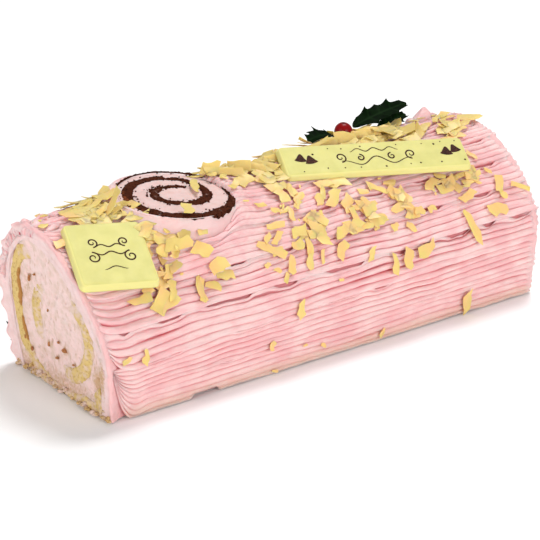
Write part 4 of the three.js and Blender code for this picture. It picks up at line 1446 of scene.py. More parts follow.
    def undercoat_shell(self) -> Shell:
        """The smooth coat under the ribbons, with a smeared ring at each cut end.

        Rows run round the arch. Each row is a closed path in x and depth: out over
        the cut face, round the corner, along under the ribbons, and back inside.
        """
        face = [(0, d) for d in np.linspace(self.lining, 1.3, 18)]
        corner = [(0.12, 0.95), (0.4, 0.6), (0.9, 0.45), (1.6, 0.6), (2.3, 0.9), (3, 1.3)]
        corner += [(3.8, 1.8), (4.7, 2.3), (5.8, 2.7), (7.4, 3.1), (9.5, 3.3)]
        half = face + corner
        middle = [(x, self.undercoat) for x in np.linspace(13, self.log.length - 13, 44)]
        other = [(self.log.length - x, d) for x, d in reversed(half)]
        inside = [(x, self.lining) for x in np.linspace(self.log.length - 30, 30, 5)]
        path = np.array(half + middle + other + inside)
        along, depth = path[None, :, 0], path[None, :, 1]
        q = np.linspace(0, 1, 601)[:, None]
        total = self.log.total(along)
        reach = q * total
        low = self.lift(along) * (1 - q) ** 8
        reach = reach + low * ease(12 - reach, 0, 12)
        left = 1 - ease(along, 0.5, 9)
        on_left, on_right = along < 0.15, along > self.log.length - 0.15
        inner = depth * 1.6
        smear = 0.75 * rough(230, 7, 4, reach * 0.7, inner)
        smear = smear + 0.35 * ripple(231, 1.7, reach * 0.5, inner)
        pushed = self.lumps(reach) * ease(5.5 - depth, 0, 3.5)
        shift = np.where(on_left, -(0.2 + smear + 1.1 * pushed), 0)
        shift = shift + np.where(on_right, smear - 0.9, 0)
        shift = shift - 1.4 * ((along > self.log.length - 9) & ~on_right)
        crease = 0.55 * rough(233, 1.5, 2, along, reach / 9) + 0.6 * rough(234, 4.5, 3, reach, along)
        inwards = np.minimum(along, self.log.length - along)
        outside = depth < 3.6
        lifted = depth + crease * (ease(9 - inwards, 0, 4) * outside)
        lifted = lifted - 0.9 * self.lumps(reach) * left * outside
        lifted = np.maximum(lifted, 0.9 * ease(reach, 175, 190) - 1.6)
        sunk = self.branch.cover(self.log.place(along + shift, reach, -lifted))
        lifted = blend(lifted, np.maximum(depth, 7.6), sunk)
        place = self.log.place(along + shift, reach, -lifted)
        # pink near the cut face, and painted shade under the ribbons: a deep pink that shows in the
        # cracks
        warm_and_shade = 0.3 * ease(3 - depth, 0, 2.4) + 0.7 * ease(inwards, 2.5, 9) + 0 * reach
        foot = 1 - ease(reach, 0, 12) * ease(total - reach, 0, 12)
        low_front = hump(reach, 22, 13) * ease(depth, 3, 5.5) * on_left
        stain = np.maximum(0.3 * foot, 0.75 * low_front) + 0 * warm_and_shade
        return ring_shell(place, {"stain": stain, "warm_and_shade": warm_and_shade})

    def build(self) -> None:
        """Makes the undercoat and its ribbons, each a piece of its own."""
        cream = Buttercream().material()
        # its deep third colour is painted shade, for the cracks between ribbons
        smear = SmearedCream("undercoat_cream", (251, 219, 217), (243, 210, 206), (228, 112, 120))
        undercoat = self.undercoat_shell()
        make_piece("undercoat", undercoat, smear.material(), Slot.BUTTERCREAM, ["buttercream_coat"])
        for number in range(self.ribbons):
            make_piece(f"piped_ribbon_{number + 1:02d}", self.ribbon(number), cream, Slot.BUTTERCREAM)
        make_piece("cream_tufts", self.tufts(), cream, Slot.BUTTERCREAM)


# ---- the plaques


def flat_outline(length: float, width: float, corner: float, steps: int = 7) -> Array:
    """A rectangle with round corners, as points of a ring."""
    points = []
    for quarter in range(4):
        sign_x = 1 if quarter in (0, 3) else -1
        sign_y = 1 if quarter < 2 else -1
        angle = math.pi / 2 * (quarter + np.linspace(0, 1, steps))
        x = sign_x * (length / 2 - corner) + corner * np.cos(angle)
        y = sign_y * (width / 2 - corner) + corner * np.sin(angle)
        points.append(np.stack([x, y], axis=-1))
    ring = np.concatenate(points)
    middles = (ring + np.roll(ring, -1, axis=0)) / 2
    return np.stack([ring, middles], axis=1).reshape(-1, 2)


@dataclass
class Stroke:
    """One printed line: a centre line, and its width along it.

    Its first part is left out by a share, so that it starts wide.
    """

    line: Array
    width: float
    left_out: float = 0.0
    taper: float = 0.35
    height: float = 0.16

    def shell(self) -> Shell:
        """A low ridge along the line, thin at both ends."""
        count = len(self.line) - 1
        tangent = np.gradient(self.line, axis=0)
        tangent /= np.linalg.norm(tangent, axis=1, keepdims=True)
        normal = np.stack([-tangent[:, 1], tangent[:, 0]], axis=-1)

        def surface(u: Array, v: Array, w: Array) -> Array:
            """The line moved sideways by v and up by w."""
            index = np.rint(u * count).astype(int)
            share = blend(self.left_out, 1, np.clip(u, 0, 1))
            swell = blend(self.taper, 1, np.sin(math.pi * share) ** 0.6)
            flat = self.line[index] + normal[index] * ((v - 0.5) * self.width * swell)[:, None]
            z = blend(-0.12, self.height * (1 - 0.5 * (2 * v - 1) ** 2), w)
            return np.concatenate([flat, z[:, None]], axis=1)

        return block_shell((count, 2, 1), surface)


def scroll(start: Sequence[float], size: float, turns: float, hand: int, count: int = 46) -> Array:
    """A curl: a spiral of shrinking radius.

    Args:
        start: middle of the curl.
        size: its largest radius.
        turns: how many turns it makes.
        hand: 1 or -1, the way that it turns.
        count: number of points.
    """
    t = np.linspace(0, 1, count)
    angle = hand * (2 * math.pi * turns * t - math.pi / 2)
    radius = size * (1 - 0.82 * t)
    x = start[0] + radius * np.cos(angle)
    y = start[1] + radius * np.sin(angle)
    return np.stack([x, y], axis=-1)


@dataclass
class Plaque:
    """A moulded chocolate plaque with a printed decoration.

    Its own frame has the origin in the middle of its upper face, z out of it.
    """

    name: str
    log: LogShape
    place: Triple
    turn: Triple
    size: tuple[float, float]
    thickness: float
    draft: float
    edge: float = 1.3
    corner: float = 2.2

    def __post_init__(self) -> None:
        """Works out the plaque's frame."""
        x, y, z = self.turn
        self.matrix = turned(z=z, x=x, y=y)
        self.origin = self.log.moved(self.place)

    def to_row(self, points: Array) -> Array:
        """Row-frame points of places in the plaque's frame."""
        return points @ self.matrix.T + self.origin

    def under(self, points: Array, margin: float) -> Array:
        """True where row-frame points are under or in the plaque, within a margin."""
        x, y, z = np.moveaxis((points - self.origin) @ self.matrix, -1, 0)
        along, across = self.size[0] / 2 + margin, self.size[1] / 2 + margin
        return (np.abs(x) < along) & (np.abs(y) < across) & (z > -9)

    def slab(self) -> Shell:
        """The body: rings in from the middle below, up the walls and in on top."""
        length, width = self.size
        short = min(length, width) / 2 - 0.4
        below, draft, edge = -self.thickness, self.draft, self.edge
        shoulder, wide = draft * 0.3, edge * 1.35
        layers = [(-short, below - 0.3), (draft - 0.3, below - 0.3), (draft + 0.1, below)]
        layers += [(draft, below + 0.6), (shoulder + 0.1, -edge - 0.3)]
        for a in np.linspace(0, math.pi / 2, 9):
            layers.append((shoulder - wide * (1 - math.cos(a)), -edge + edge * math.sin(a)))
        layers += [(shoulder - wide - grow * (short - wide), 0) for grow in (0.1, 0.35, 0.65)]
        layers.append((-short, 0))
        rings, edges = [], []
        for grow, z in layers:
            corner = max(0.15, self.corner + grow)
            ring = flat_outline(length + 2 * grow, width + 2 * grow, corner)
            uneven = 0.12 * ripple(9, 13, ring[:, 0], ring[:, 1])
            ring = ring * (1 + 0.0015 * ripple(4, 9, ring[:, :1], ring[:, 1:]))
            rings.append(np.concatenate([ring, (z + uneven * (z > -1))[:, None]], axis=1))
            # the edge mark: where the rim's painted highlight goes
            edges.append(np.full(len(ring), float(below + 0.3 < z < -0.15)))
        return ring_shell(self.to_row(np.array(rings)), {"edge": np.array(edges)})

    def strokes(self) -> list[Stroke]:
        """The printed lines; none on a plain plaque."""
        return []

    def solids(self) -> list[Shell]:
        """Printed shapes that aren't lines, in the plaque's frame."""
        return []

    def build(self, ink: bpy.types.Material) -> None:
        """Makes the body and its print."""
        chocolate = WhiteChocolate(f"{self.name}_chocolate").material()
        make_piece(f"{self.name}_moulded", self.slab(), chocolate, Slot.WHITE_CHOCOLATE, [self.name])
        shells = [stroke.shell() for stroke in self.strokes()] + self.solids()
        print_shell = Shell.joined(shells)
        print_shell.points = self.to_row(print_shell.points)
        make_piece(f"{self.name}_print", print_shell, ink, Slot.CHOCOLATE_SPONGE, crease=40)


@dataclass
class SquarePlaque(Plaque):
    """The square plaque, with two rows of mirrored scrolls."""

    def strokes(self) -> list[Stroke]:
        """Two rows: each has two curls that face each other, and a wave between."""
        lines = []
        for row_y, reach, size, flip in ((6.6, 7.6, 2.7, 1), (-2.2, 9, 3.3, -1)):
            curl = scroll((-reach, row_y), size, 1.35, flip)
            lines += [Stroke(curl * (side, 1), 0.7, 0.25) for side in (1, -1)]
            x = np.linspace(-reach, reach, 70)
            y = row_y - flip * (size - 0.55 * size * (1 - np.cos(2 * math.pi * x / reach)) * 0.5)
            lines.append(Stroke(np.stack([x, y], axis=-1), 0.6))
        x = np.linspace(-5.5, 5.5, 40)
        lines.append(Stroke(np.stack([x, -8.6 + 0.9 * np.cos(math.pi * x / 5.5)], axis=-1), 0.55))
        return lines


@dataclass
class LongPlaque(Plaque):
    """The long plaque: a scrolled flourish between two pairs of bells, and dots."""

    dots: tuple[Triple, ...] = (
        (-33, 3, 0.5), (-27.5, -5.2, 0.4), (-18.5, -5.6, 0.35), (-10, -5.8, 0.35), (-17, 5.2, 0.35),
        (-6.5, 6, 0.4), (3.5, -6, 0.55), (13, 5.9, 0.3), (17, -5.4, 0.3), (22.5, -5.2, 0.45),
        (33.5, 5, 0.5), (34, -5.4, 0.4), (37.5, 6.2, 0.3), (45.5, 6.2, 0.35), (47, -5, 0.5),
        (-40.5, -6.4, 0.35), (-24, 5.8, 0.3), (27, 5.6, 0.3),
    )

    def strokes(self) -> list[Stroke]:
        """A long wave with a curl at each end and a small one at each side of it."""
        curls = scroll((-19, 0.3), 3.1, 1.3, 1), scroll((-8.5, -0.4), 2.2, 1.2, -1)
        lines = [Stroke(curl * (side, 1), 0.75, 0.25) for side in (1, -1) for curl in curls]
        x = np.linspace(-19, 19, 150)
        y = -2.8 + 2.8 * np.cos(math.pi * x / 9.5) * np.exp(-((x / 17) ** 2))
        lines.append(Stroke(np.stack([x, y], axis=-1), 0.55))
        x = np.linspace(-13, 13, 90)
        lines.append(Stroke(np.stack([x, 4.6 + 1 * np.cos(math.pi * x / 4.4)], axis=-1), 0.5))
        return lines

    def bell(self, crown: Sequence[float], tilt: float, size: float) -> Shell:
        """A flat bell that hangs from its crown: narrow there, flared at its mouth."""

        def surface(u: Array, v: Array, w: Array) -> Array:
            """u from crown to rim, v across and w up."""
            wide = np.interp(u, [0, 0.1, 0.3, 0.75, 0.92, 1], [0.1, 0.3, 0.5, 0.92, 1.2, 1.25])
            x = (v - 0.5) * size * wide
            y = -u * size + 0.14 * size * (2 * v - 1) ** 2 * u
            cos, sin = math.cos(tilt), math.sin(tilt)
            z = blend(-0.12, 0.2, w)
            return np.stack([crown[0] + x * cos - y * sin, crown[1] + x * sin + y * cos, z], axis=-1)

        return block_shell((14, 6, 1), surface)

    def solids(self) -> list[Shell]:
        """The two pairs of bells, and the dots."""
        shells = []
        for middle_x, middle_y, leaning in ((-37.2, 0.6, 1), (40.8, 1.2, -1)):
            shells.append(self.bell((middle_x - 2.4 * leaning, middle_y + 3.4), -0.16 * leaning, 5.1))
            shells.append(self.bell((middle_x + 1.7 * leaning, middle_y + 2.2), 0.14 * leaning, 5.4))
        for index, (x, y, size) in enumerate(self.dots):
            axes = (size * 1.3, size * 1.2, 0.2)
            shells.append(lump((x, y * 1.15, 0), axes, 500 + index))
        return shells


# ---- the holly


@dataclass
class HollySprig:
    """Three spiny leaves and a berry, tucked behind the long plaque.

    Each leaf has its base and tip, in the log's measures, its width, tilt and arch.
    """

    log: LogShape
    leaves: tuple[tuple[str, Triple, Triple, float, float, float], ...] = (
        ("holly_leaf_large", (189.5, 20.5, 88.4), (225.2, 21.6, 94), 14, -20, 0.8),
        ("holly_leaf_left", (176.2, 20.6, 86), (158.6, 18.4, 87.6), 13, 10, 1.5),
        ("holly_leaf_right", (208.5, 24, 82.6), (228, 25, 86.4), 9.5, -34, 1),
    )
    far_tip: tuple[Triple, Triple, float, float, float] = ((1, 45.6, 9), (-1.2, 46, 21), 5, 72, 0.2)
    spines: int = 5
    thickness: float = 0.6
    cells: tuple[int, int, int] = (100, 12, 1)
    berry_place: Triple = (180.8, 17.8, 88.4)
    berry_radius: float = 4.7

    def leaf(
        self, base: Triple, tip: Triple, width: float, tilt: float, arch: float, seed: int
    ) -> Shell:
        """A leaf: scalloped between its spines, folded at the midrib and arched."""
        start = self.log.moved(base)
        along = np.array(tip) - np.array(base)
        length = float(np.linalg.norm(along))
        forward = along / length
        sideways = np.cross((0.0, 0.0, 1.0), forward)
        sideways /= np.linalg.norm(sideways)
        frame = np.stack([forward, sideways, np.cross(forward, sideways)], axis=1)
        frame = frame @ turned(x=-tilt)

        def outline(u: Array) -> tuple[Array, Array]:
            """Half width and spine share at u."""
            spine = (1 - np.abs(np.sin(math.pi * (self.spines * u - 0.5)))) ** 1.2
            full = width / 2 * np.sin(math.pi * np.clip(u, 0.004, 0.996) ** 0.85) ** 0.5
            return np.maximum(0.35, full * (0.72 + 0.28 * spine)), spine

        def surface(u: Array, v: Array, w: Array) -> Array:
            """u along the midrib, v across and w through the blade."""
            half, spine = outline(u)
            side = 2 * v - 1
            x = u * length + 1.8 * np.abs(side) ** 2 * spine
            y = side * half
            number = np.floor(self.spines * u + 0.0001)
            curl = 1 * spine * side**2 * np.cos(math.pi * (number + (side > 0)))
            z = 0.24 * np.abs(y) + arch * np.sin(math.pi * u) + curl + 0.4 * ripple(seed, 6, x, y)
            z = z + (w - 0.5) * self.thickness * blend(1, 0.35, np.abs(side) ** 2)
            return np.stack([x, y, z], axis=-1) @ frame.T + start

        def marks(u: Array, v: Array, w: Array) -> Marks:
            """Midrib and side veins."""
            half, _ = outline(u)
            off = np.abs(2 * v - 1) * half
            vein = hump((self.spines * u - 0.25 * np.abs(2 * v - 1)) % 1, 0.5, 0.09) * 0.6
            return {"rib": np.maximum(hump(off, 0, 0.45), vein)}

        return block_shell(self.cells, surface, marks)

    def berry(self) -> Shell:
        """A round berry with a dimple at its top."""
        up = np.linspace(-0.485, 0.485, 26)[:, None] * math.pi
        round_ = np.linspace(0, 2 * math.pi, 41)[None, :-1]
        radius = self.berry_radius * (1 - 0.012 * np.cos(3 * round_))
        middle = self.log.moved(self.berry_place)
        cup = ease(up, 1.2, 1.5)
        x, y = radius * np.cos(up) * np.cos(round_), radius * np.cos(up) * np.sin(round_)
        z = self.berry_radius * np.sin(up) - 0.45 * cup + 0 * round_
        return ring_shell(np.stack([x, y, z], axis=-1) + middle, {"cup": cup + 0 * round_})

    def build(self) -> None:
        """Makes the leaves and the berry."""
        green = HollyLeaf().material()
        for seed, (name, *row) in enumerate(self.leaves, 400):
            shell = self.leaf(*row, seed)
            make_piece(f"{name}_blade", shell, green, Slot.HOLLY, [name], crease=50)
        tip = self.leaf(*self.far_tip, 407)
        make_piece("far_leaf_tip", tip, green, Slot.HOLLY, crease=50)
        make_piece("berry_skin", self.berry(), BerrySkin().material(), Slot.BERRY, ["holly_berry"])


# ---- the shavings


@dataclass
class Flake:
    """One shaving: a thin curved plate in its own frame.

    Its middle surface is a quadratic in x and y, as the CAD shaving's is. Warmth,
    partly painted shade, is added to its tone, and squared, from 0 to 1, is how
    straight its outline is.
    """

    middle: Array
    frame: Array
    length: float
    width: float
    bend: Array
    seed: int
    thickness: float = 0.45
    cells: tuple[int, int, int] = (12, 6, 1)
    warmth_and_shade: float = 0.0
    squared: float = 0.0

    @staticmethod
    def terms(x: Array, y: Array) -> Array:
        """The terms of a quadratic in x and y."""
        return np.stack([np.ones_like(x), x, y, x * x, x * y, y * y], axis=-1)

    @staticmethod
    def from_node(node: bpy.types.Object, seed: int) -> Flake:
        """Reads a CAD shaving: its principal axes, its size and how it bends."""
        points = np.array([vertex.co for vertex in node.data.vertices], float) / MM
        middle = points.mean(axis=0)
        _, _, axes = np.linalg.svd(points - middle, full_matrices=False)
        frame = axes.T
        if np.linalg.det(frame) < 0:
            frame[:, 1] *= -1
        if frame[2, 2] < 0:
            frame = frame * np.array([1, -1, -1])
        local = (points - middle) @ frame
        x, y, z = local.T
        bend = np.linalg.lstsq(Flake.terms(x, y), z, rcond=None)[0]
        return Flake(middle, frame, np.ptp(x), np.ptp(y), bend, seed)

    def edge(self, u: Array, side: int) -> Array:
        """Share of the half width at u on one side: a few random stations joined."""
        rng = np.random.default_rng(self.seed * 2 + side)
        stations = rng.uniform(0.5, 1, 5)
        stations[0] = rng.choice([0.05, 0.5, 0.8, 0.95])
        stations[-1] = rng.choice([0.05, 0.35, 0.7, 0.9])
        stations = blend(stations, 0.92, self.squared)
        return np.interp(u, [0, 0.25, 0.5, 0.75, 1], stations)

    def surface(self, u: Array, v: Array, w: Array) -> Array:
        """u along the shaving, v across and w through it."""
        side = 2 * v - 1
        x = (u - 0.5) * self.length
        half = self.width / 2 * np.where(side > 0, self.edge(u, 1), self.edge(u, 0))
        skew = 0.28 * self.width * ripple(self.seed, 0.6, u)
        x = x + 0.5 * math.sin(self.seed) * side * half
        y = side * half + skew * np.sin(math.pi * u)
        z = self.terms(x, y) @ self.bend + 0.12 * ripple(self.seed + 1, 2.5, x, y)
        thin = self.thickness * blend(1, 0.5, np.maximum(np.abs(side), np.abs(2 * u - 1)) ** 3)
        z = z + (w - 0.5) * thin
        points = np.stack([x, y, z], axis=-1) @ self.frame.T + self.middle
        return np.maximum(points, (-np.inf, -np.inf, 0.02))

    def shell(self) -> Shell:
        """The finished plate with one tone all over, and painted shade that makes it warmer below the
        crown.
        """
        # painted shade: more orange the lower the flake lies below the crown, and the drift's warmth
        # added to a random tone
        low = 0.35 * float(ease(np.array(88 - self.middle[2]), 2, 20))
        tone_and_shade = float(np.random.default_rng(self.seed + 9).uniform(0, 1)) * 0.65 + low + self.warmth_and_shade
        lean = math.cos(self.seed) * 0.45

        def marks(u: Array, v: Array, w: Array) -> Marks:
            """Warmer towards one end and one side."""
            return {"tone_and_shade": np.clip(tone_and_shade + lean * (2 * u - 1) + 0.2 * (2 * v - 1), 0, 1)}

        return block_shell(self.cells, self.surface, marks)


@dataclass(frozen=True)
class Drift:
    """A stretch of the coat that flakes are strewn on.

    It spans a part of the log and of the arch. The flakes are heaped up to pile in its
    middle, are turned within swing of the log's length, and rise by slant along it.
    Its warmth is added to the flakes' tone, and is partly painted shade: below zero
    for olive flakes on the crown and behind the branch, high for orange ones under
    the square plaque.
    """

    x: tuple[float, float]
    reach: tuple[float, float]
    count: int
    pile: float
    longest: float
    swing: float = 90.0
    slant: float = 0.0
    warmth_and_shade: float = 0.0

    def flake_place(self, rng: np.random.Generator) -> Triple:
        """A random place in the drift: along the log, round the arch and up."""
        along, across = rng.uniform(0, 1, 2)
        dome = (math.sin(math.pi * along) * math.sin(math.pi * across)) ** 0.6
        x, reach = blend(*self.x, along), blend(*self.reach, across)
        return float(x), float(reach), rng.uniform(0, 1) * self.pile * dome


# each row gives a Drift's fields, in their order
# the last field is partly painted shade: below zero for olive flakes on the crown and behind the
# branch, 0.7 for orange ones under the square plaque
DRIFTS = (
    ((20, 42), (100, 128), 30, 1, 14, 22, 2, -0.2), ((30, 56), (98, 128), 24, 4, 13, 30, 8, -0.2),
    ((22, 46), (84, 104), 20, 1.5, 13, 50, 4), ((70, 98), (104, 124), 6, 0.5, 8),
    ((5, 15), (80, 98), 16, 0.8, 8, 60, 0, 0.7), ((92, 148), (112, 131), 22, 1.5, 12, 40, 0, -0.3),
    ((98, 146), (86, 112), 18, 0.8, 12, 70, 0, -0.1), ((144, 162), (102, 128), 10, 2, 12, 40),
    ((150, 216), (102, 130), 46, 3.4, 17, 20, 0, -0.2), ((212, 250), (104, 116), 11, 1.2, 13, 30),
    ((234, 253), (118, 130), 5, 0.8, 9, 40), ((150, 238), (88, 101), 24, 1, 12, 60, 0, 0.2),
    ((118, 236), (70, 86), 28, 0.4, 11, 90, 0, 0.35), ((110, 220), (60, 72), 14, 0.6, 12),
    ((96, 132), (62, 82), 9, 0.5, 11), ((22, 46), (60, 84), 12, 0.8, 11, 90, 0, 0.3),
    ((4, 30), (104, 128), 9, 0.5, 7), ((212, 250), (58, 76), 5, 0.4, 9),
    ((100, 250), (124, 142), 12, 0.4, 9), ((30, 100), (126, 138), 7, 0.3, 8),
    ((96, 236), (60, 116), 36, 0.8, 3.6), ((20, 50), (60, 128), 18, 0.8, 3.6),
)


@dataclass
class Shavings:
    """All the shavings: one piece for each CAD node, and the smaller ones joined.

    Attributes:
        kept_free: balls that no strewn flake is in: middle, in the log's measures, and radius.
        small: place along the log and round the arch, length, width and turn.
        chunks: the same for thick flakes, with their roll and how square their ends are.
    """

    log: LogShape
    branch: CutBranch
    plaques: Sequence[Plaque]
    nodes: dict[str, bpy.types.Object]
    kept_free: tuple[Row, ...] = (
        (168, 14, 89, 8.5), (182, 12, 91, 5), (223, 22, 90, 8), (215, 17, 95, 9), (12, 19, 86.5, 6),
        (18.4, 19.5, 88, 6), (25, 19, 89.5, 5.5), (31, 18, 92, 5),
    )
    small: tuple[Row, ...] = (
        (10, 32, 5.5, 3, 20), (19, 32, 7, 4, 70), (90, 17, 5, 4, 60), (110, 11.5, 2.5, 2, 10),
        (121, 8.5, 3.5, 2.2, -40), (92, 2.2, 3, 2, 0), (102.5, 49, 5, 3, 50), (53, 79, 6, 4, 15),
        (66, 77, 6, 4, 0), (48, 67, 8, 5, 30), (117.5, 53, 8, 4.5, 75), (125, 54, 7, 2, 80),
        (163, 73, 8, 5, 5), (171, 59, 5.5, 4, 30), (188, 62.5, 7, 5.5, -20), (196, 62.5, 5.5, 4, 10),
        (180, 56, 6.5, 5, -50), (152.5, 49, 7, 4, 70), (132, 41, 3, 2, 0), (158, 5, 5, 3.5, 50),
        (113, 82.5, 6, 4, 0), (126, 82.5, 6.5, 4, 40), (139, 82.5, 7, 5.5, 70),
        (127.5, 91, 8, 4, 80), (42, 84, 9, 6, 30), (48, 80, 10, 6, -20), (54, 75.5, 9, 5, 15),
        (50, 73, 8, 6, 60), (40, 78, 8, 5, 80), (210, 78, 6, 4, -20), (223, 70, 5, 4, 30),
        (95, 57, 3.5, 2.5, 20), (99, 53.5, 4.5, 3, -30),
    )
    chunks: tuple[Row, ...] = (
        (114.5, 115, 11.5, 6, -34, 62, 1), (99.5, 117, 9, 7.5, -30, 50, 0.35),
        (128, 113, 14, 4.5, -62, 35, 0.6), (134, 115, 8.5, 5.5, -20, 55, 0.3),
        (104.5, 113, 19, 4, -36, 60, 0.7), (122, 112, 9, 5, -40, 40, 0.5),
        (109.5, 104, 10, 8, 20, 8, 0.4), (121, 104, 9.5, 8, 60, 5, 0.3),
        (136, 106, 9, 5, -10, 12, 0.6), (170, 118, 9, 6, -28, 56, 0.5),
        (179, 116.5, 11, 8, -34, 58, 0.5), (187, 117, 11, 7, -30, 56, 0.4),
        (195, 118.5, 12, 6, -22, 50, 0.6), (203, 120, 12, 5.5, -16, 46, 0.4),
        (187, 113, 9, 5, 30, 14, 0.2), (197, 113, 10, 4.5, -20, 16, 0.5),
        (174, 112, 8, 5, 40, 12, 0.3), (207, 117, 10, 4.5, 0, 24, 0.3),
        (53, 86, 9.5, 7, 75, 14, 0.3), (46, 76, 8.5, 7.5, 40, 12, 0.2),
        (57.5, 78, 10.5, 7.5, 35, 9, 0.1), (62, 70, 9.5, 8, -30, 9, 0.3),
        (67.5, 62, 10, 8, 20, 11, 0.3), (44, 66, 7.5, 6, 60, 12, 0.2), (42, 58, 9.5, 6, 80, 12, 0),
        (35, 54, 12, 8.5, 45, 10, 0.4), (57, 54, 11, 3.4, 72, 6, 0),
    )

    def on_coat(
        self, x: float, reach: float, length: float, width: float, turn: float, seed: int,
        tilt: float = 0.0, lift: float = 0.0, roll: float = 0.0,
    ) -> Flake:
        """A flake on the coat: turned on it, tilted up at one end and rolled on its long edge."""
        lift = lift + float(self.branch.near(self.log.place(x, reach)))
        at = self.log.place(x, reach, lift + 0.25)
        above = self.log.place(x, reach, lift + 1.25)
        normal = (above - at) / np.linalg.norm(above - at)
        forward = np.array([1.0, 0.0, 0.0])
        forward = forward - normal * (forward @ normal)
        forward /= np.linalg.norm(forward)
        frame = np.stack([forward, np.cross(normal, forward), normal], axis=1)
        frame = frame @ turned(z=turn, y=tilt, x=roll)
        rise = abs(math.sin(math.radians(tilt))) * length / 2
        rise = rise + abs(math.sin(math.radians(roll))) * width / 2
        rng = np.random.default_rng(seed)
        bend = np.array([0, 0, 0, rng.uniform(-0.01, 0.05), rng.uniform(-0.02, 0.02), -0.008])
        return Flake(at + normal * rise, frame, length, width, bend, seed, 0.4, (8, 4, 1))

    def heaps(self) -> list[Flake]:
        """Flakes strewn in drifts: along the crown, behind it and by the plaques."""
        rng = np.random.default_rng(2024)
        flakes = []
        for drift in (Drift(*row) for row in DRIFTS):
            for _ in range(drift.count):
                x, reach, lift = drift.flake_place(rng)
                length = drift.longest * rng.uniform(0.4, 1)
                width = min(length * rng.uniform(0.35, 0.85), 8.5)
                turn = rng.uniform(-1, 1) * drift.swing
                tilt = rng.uniform(-1, 1) * (4 + 7 * min(drift.pile, 2)) - drift.slant
                seed = int(rng.integers(1, 1_000_000))
                flake = self.on_coat(x, reach, length, width, turn, seed, tilt, lift)
                flake.warmth_and_shade, flake.squared, flake.thickness = drift.warmth_and_shade, 0.35, 0.6
                if self.clear(flake):
                    flakes.append(flake)
        return flakes

    def clear(self, flake: Flake) -> bool:
        """True where a flake isn't inside the branch or a plaque."""
        if float(self.branch.cover(flake.middle)) > 0.02:
            return False
        middle = flake.middle - self.log.moved((0, 0, 0))
        if any(np.linalg.norm(middle - free[:3]) < free[3] for free in self.kept_free):
            return False
        return not any(plaque.under(flake.middle, 0.5) for plaque in self.plaques)

    def build(self) -> None:
        """Makes the shavings that stand for CAD nodes, and the strewn ones."""
        white = Shaving().material()
        names = sorted(name for name in self.nodes if "shaving" in name)
        for index, name in enumerate(names):
            shell = Flake.from_node(self.nodes[name], 900 + 13 * index).shell()
            make_piece(f"{name}_curl", shell, white, Slot.SHAVING, [name], crease=45)
        placed = []
        for index, row in enumerate(self.small):
            placed.append(self.on_coat(*row, 7000 + index, 14 * math.sin(7.3 * index)).shell())
        for index, (*row, roll, squared) in enumerate(self.chunks):
            chunk = self.on_coat(*row, 7100 + index, roll=roll)
            # painted shade in part: the chunks are made a little more olive
            chunk.squared, chunk.thickness, chunk.warmth_and_shade = squared, 1.1, -0.2
            placed.append(chunk.shell())
        make_piece("small_shavings", Shell.joined(placed), white, Slot.SHAVING, crease=45)
        strewn = [flake.shell() for flake in self.heaps()]
        make_piece("strewn_shavings", Shell.joined(strewn), white, Slot.SHAVING, crease=45)


# ---- crumbs


@dataclass
class Crumbs:
    """Crumbs along the feet of the cut ends, and a dark speck on the coat."""

    log: LogShape
    counts: tuple[int, int] = (64, 48)
    stretch: tuple[float, float] = (-42, 41)
    sizes: tuple[float, float] = (0.5, 1.7)

    def at_feet(self) -> Shell:
        """Lumps of sponge and cream that stick out at the foot of both cut faces."""
        rng = np.random.default_rng(77)
        shells = []
        for (end, base), count in zip(self.log.faces(), self.counts):
            for index in range(count):
                y = rng.uniform(*self.stretch)
                size = rng.uniform(*self.sizes)
                z = size * 0.75 + 0.1 + rng.uniform(0, 1) ** 2 * 4
                x = base + end.value * rng.uniform(-0.4, 1.3) * size * 0.7
                middle = self.log.row_frame(x, y, z)
                axes = (size, size * 1.2, size * 0.6)
                shells.append(lump(middle, axes, 600 + index, rng.uniform(0, 6)))
        shell = Shell.joined(shells)
        x, y, _ = shell.points.T
        browned = 0.55 * ease(ripple(88, 5, y, x), 0.1, 0.7)
        shell.marks = {"skin": browned, "smear": 0.5 + 0.5 * ripple(89, 4, y, x)}
        return shell

    def speck(self) -> Shell:
        """One dark speck on the front of the coat."""
        middle = self.log.place(80, 68.8)
        return plain(lump(middle, (0.55, 0.5, 0.4), 5), ("skin", "smear"))

    def build(self) -> None:
        """Makes the crumbs and the speck."""
        crumb = Sponge("crumbs", (226, 188, 128), (188, 138, 84), (140, 88, 46), pore=0.9)
        make_piece("foot_crumbs", self.at_feet(), crumb.material(), Slot.SPONGE)
        dark = Sponge("chocolate_speck", (50, 26, 20), (22, 10, 8), (70, 36, 24), pore=0.6)
        make_piece("dark_speck", self.speck(), dark.material(), Slot.CHOCOLATE_SPONGE)


# ---- the studio


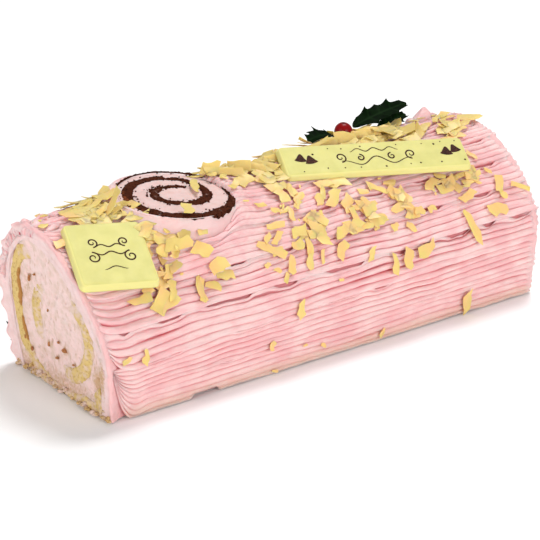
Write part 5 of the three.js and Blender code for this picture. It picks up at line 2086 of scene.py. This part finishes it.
@dataclass
class Studio:
    """A pale floor, soft lights and the camera.

    The camera looks at the target from its two angles, and is then moved to the right
    and up by the offset. Each lamp has its place and width in metres, and its power.
    """

    target: Triple = (2.694, 0.862, 39.0)
    azimuth: float = 36.6
    elevation: float = 22.3
    distance: float = 1040.0
    offset: tuple[float, float] = (-7.02, -7.8)
    lens: float = 139.53
    half_floor: float = 6.0
    world_light: float = 0.34
    lamps: tuple[tuple[str, Triple, float, float], ...] = (
        ("top", (1.2, 0.7, 3.5), 1.4, 92),
        ("front", (0.1, -3.6, 1.2), 1.8, 66),
        ("side", (-3.4, -0.8, 1.3), 2, 56),
    )

    def camera(self) -> None:
        """Places the camera: back, right and up follow from its two angles."""
        a, e = math.radians(self.azimuth), math.radians(self.elevation)
        back = np.array([-math.sin(a) * math.cos(e), -math.cos(a) * math.cos(e), math.sin(e)])
        right = np.array([math.cos(a), -math.sin(a), 0])
        up = np.cross(back, right)
        place = np.array(self.target) + back * self.distance
        place = place + right * self.offset[0] + up * self.offset[1]
        data = bpy.data.cameras.new("camera")
        data.lens = self.lens
        data.sensor_width = 36
        data.clip_start, data.clip_end = 0.05, 30
        camera = bpy.data.objects.new("camera", data)
        camera.location = Vector(place * MM)
        camera.rotation_euler = Vector(-back).to_track_quat("-Z", "Y").to_euler()
        bpy.context.scene.collection.objects.link(camera)
        bpy.context.scene.camera = camera

    def lamp(self, name: str, place: Sequence[float], size: float, power: float) -> None:
        """A round area light, in metres, that points at the cake."""
        data = bpy.data.lights.new(name, "AREA")
        data.shape = "DISK"
        data.size = size
        data.energy = power
        lamp = bpy.data.objects.new(name, data)
        lamp.location = Vector(place)
        lamp.rotation_euler = (Vector((0, 0, 0.04)) - Vector(place)).to_track_quat("-Z", "Y").to_euler()
        bpy.context.scene.collection.objects.link(lamp)

    def floor(self) -> None:
        """A wide white floor just under the cake."""
        half = self.half_floor
        mesh = bpy.data.meshes.new("floor")
        corners = [(-half, -half, 0), (half, -half, 0), (half, half, 0), (-half, half, 0)]
        mesh.from_pydata(corners, [], [(0, 1, 2, 3)])
        sketch = Sketch("white_floor")
        white = (0.95, 0.95, 0.95, 1)
        sketch.cover(white, 1, None, 0)
        mesh.materials.append(sketch.material)
        floor = bpy.data.objects.new("floor", mesh)
        bpy.context.scene.collection.objects.link(floor)
        floor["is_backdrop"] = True

    def build(self) -> None:
        """Sets up the whole studio."""
        scene = bpy.context.scene
        scene.view_settings.view_transform = "Standard"
        world = bpy.data.worlds.new("studio")
        world.use_nodes = True
        background = world.node_tree.nodes["Background"]
        background.inputs["Color"].default_value = (1, 1, 1, 1)
        background.inputs["Strength"].default_value = self.world_light
        scene.world = world
        for lamp in self.lamps:
            self.lamp(*lamp)
        self.floor()
        self.camera()


def main() -> None:
    """Builds the cake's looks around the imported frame, and the studio."""
    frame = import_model()
    cad_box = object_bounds()
    shape = LogShape()
    roll = RollShape(shape)
    branch = CutBranch(shape)
    square = SquarePlaque(
        "square_plaque", shape, place=(14.54, -23.56, 74.87), turn=(29, 6, -16),
        size=(36.8, 36.8), thickness=3.4, draft=0.6,
    )
    long = LongPlaque(
        "long_plaque", shape, place=(177.2, -12.9, 84.45), turn=(30, 4.3, -18),
        size=(99, 19), thickness=3.2, draft=0.8,
    )
    RolledCore(roll).build()
    branch.build()
    PipedCoat(shape, branch).build()
    ink = Print().material()
    square.build(ink)
    long.build(ink)
    HollySprig(shape).build()
    Shavings(shape, branch, (square, long), frame["nodes"]).build()
    Crumbs(shape).build()
    Studio().build()
    boxes = {"cad": cad_box, "visual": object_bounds()}
    sizes = {name: [list(corner) for corner in box] for name, box in boxes.items()}


if __name__ == "__main__":
    logging.basicConfig(level=logging.INFO, format="%(name)s %(message)s")
    main()
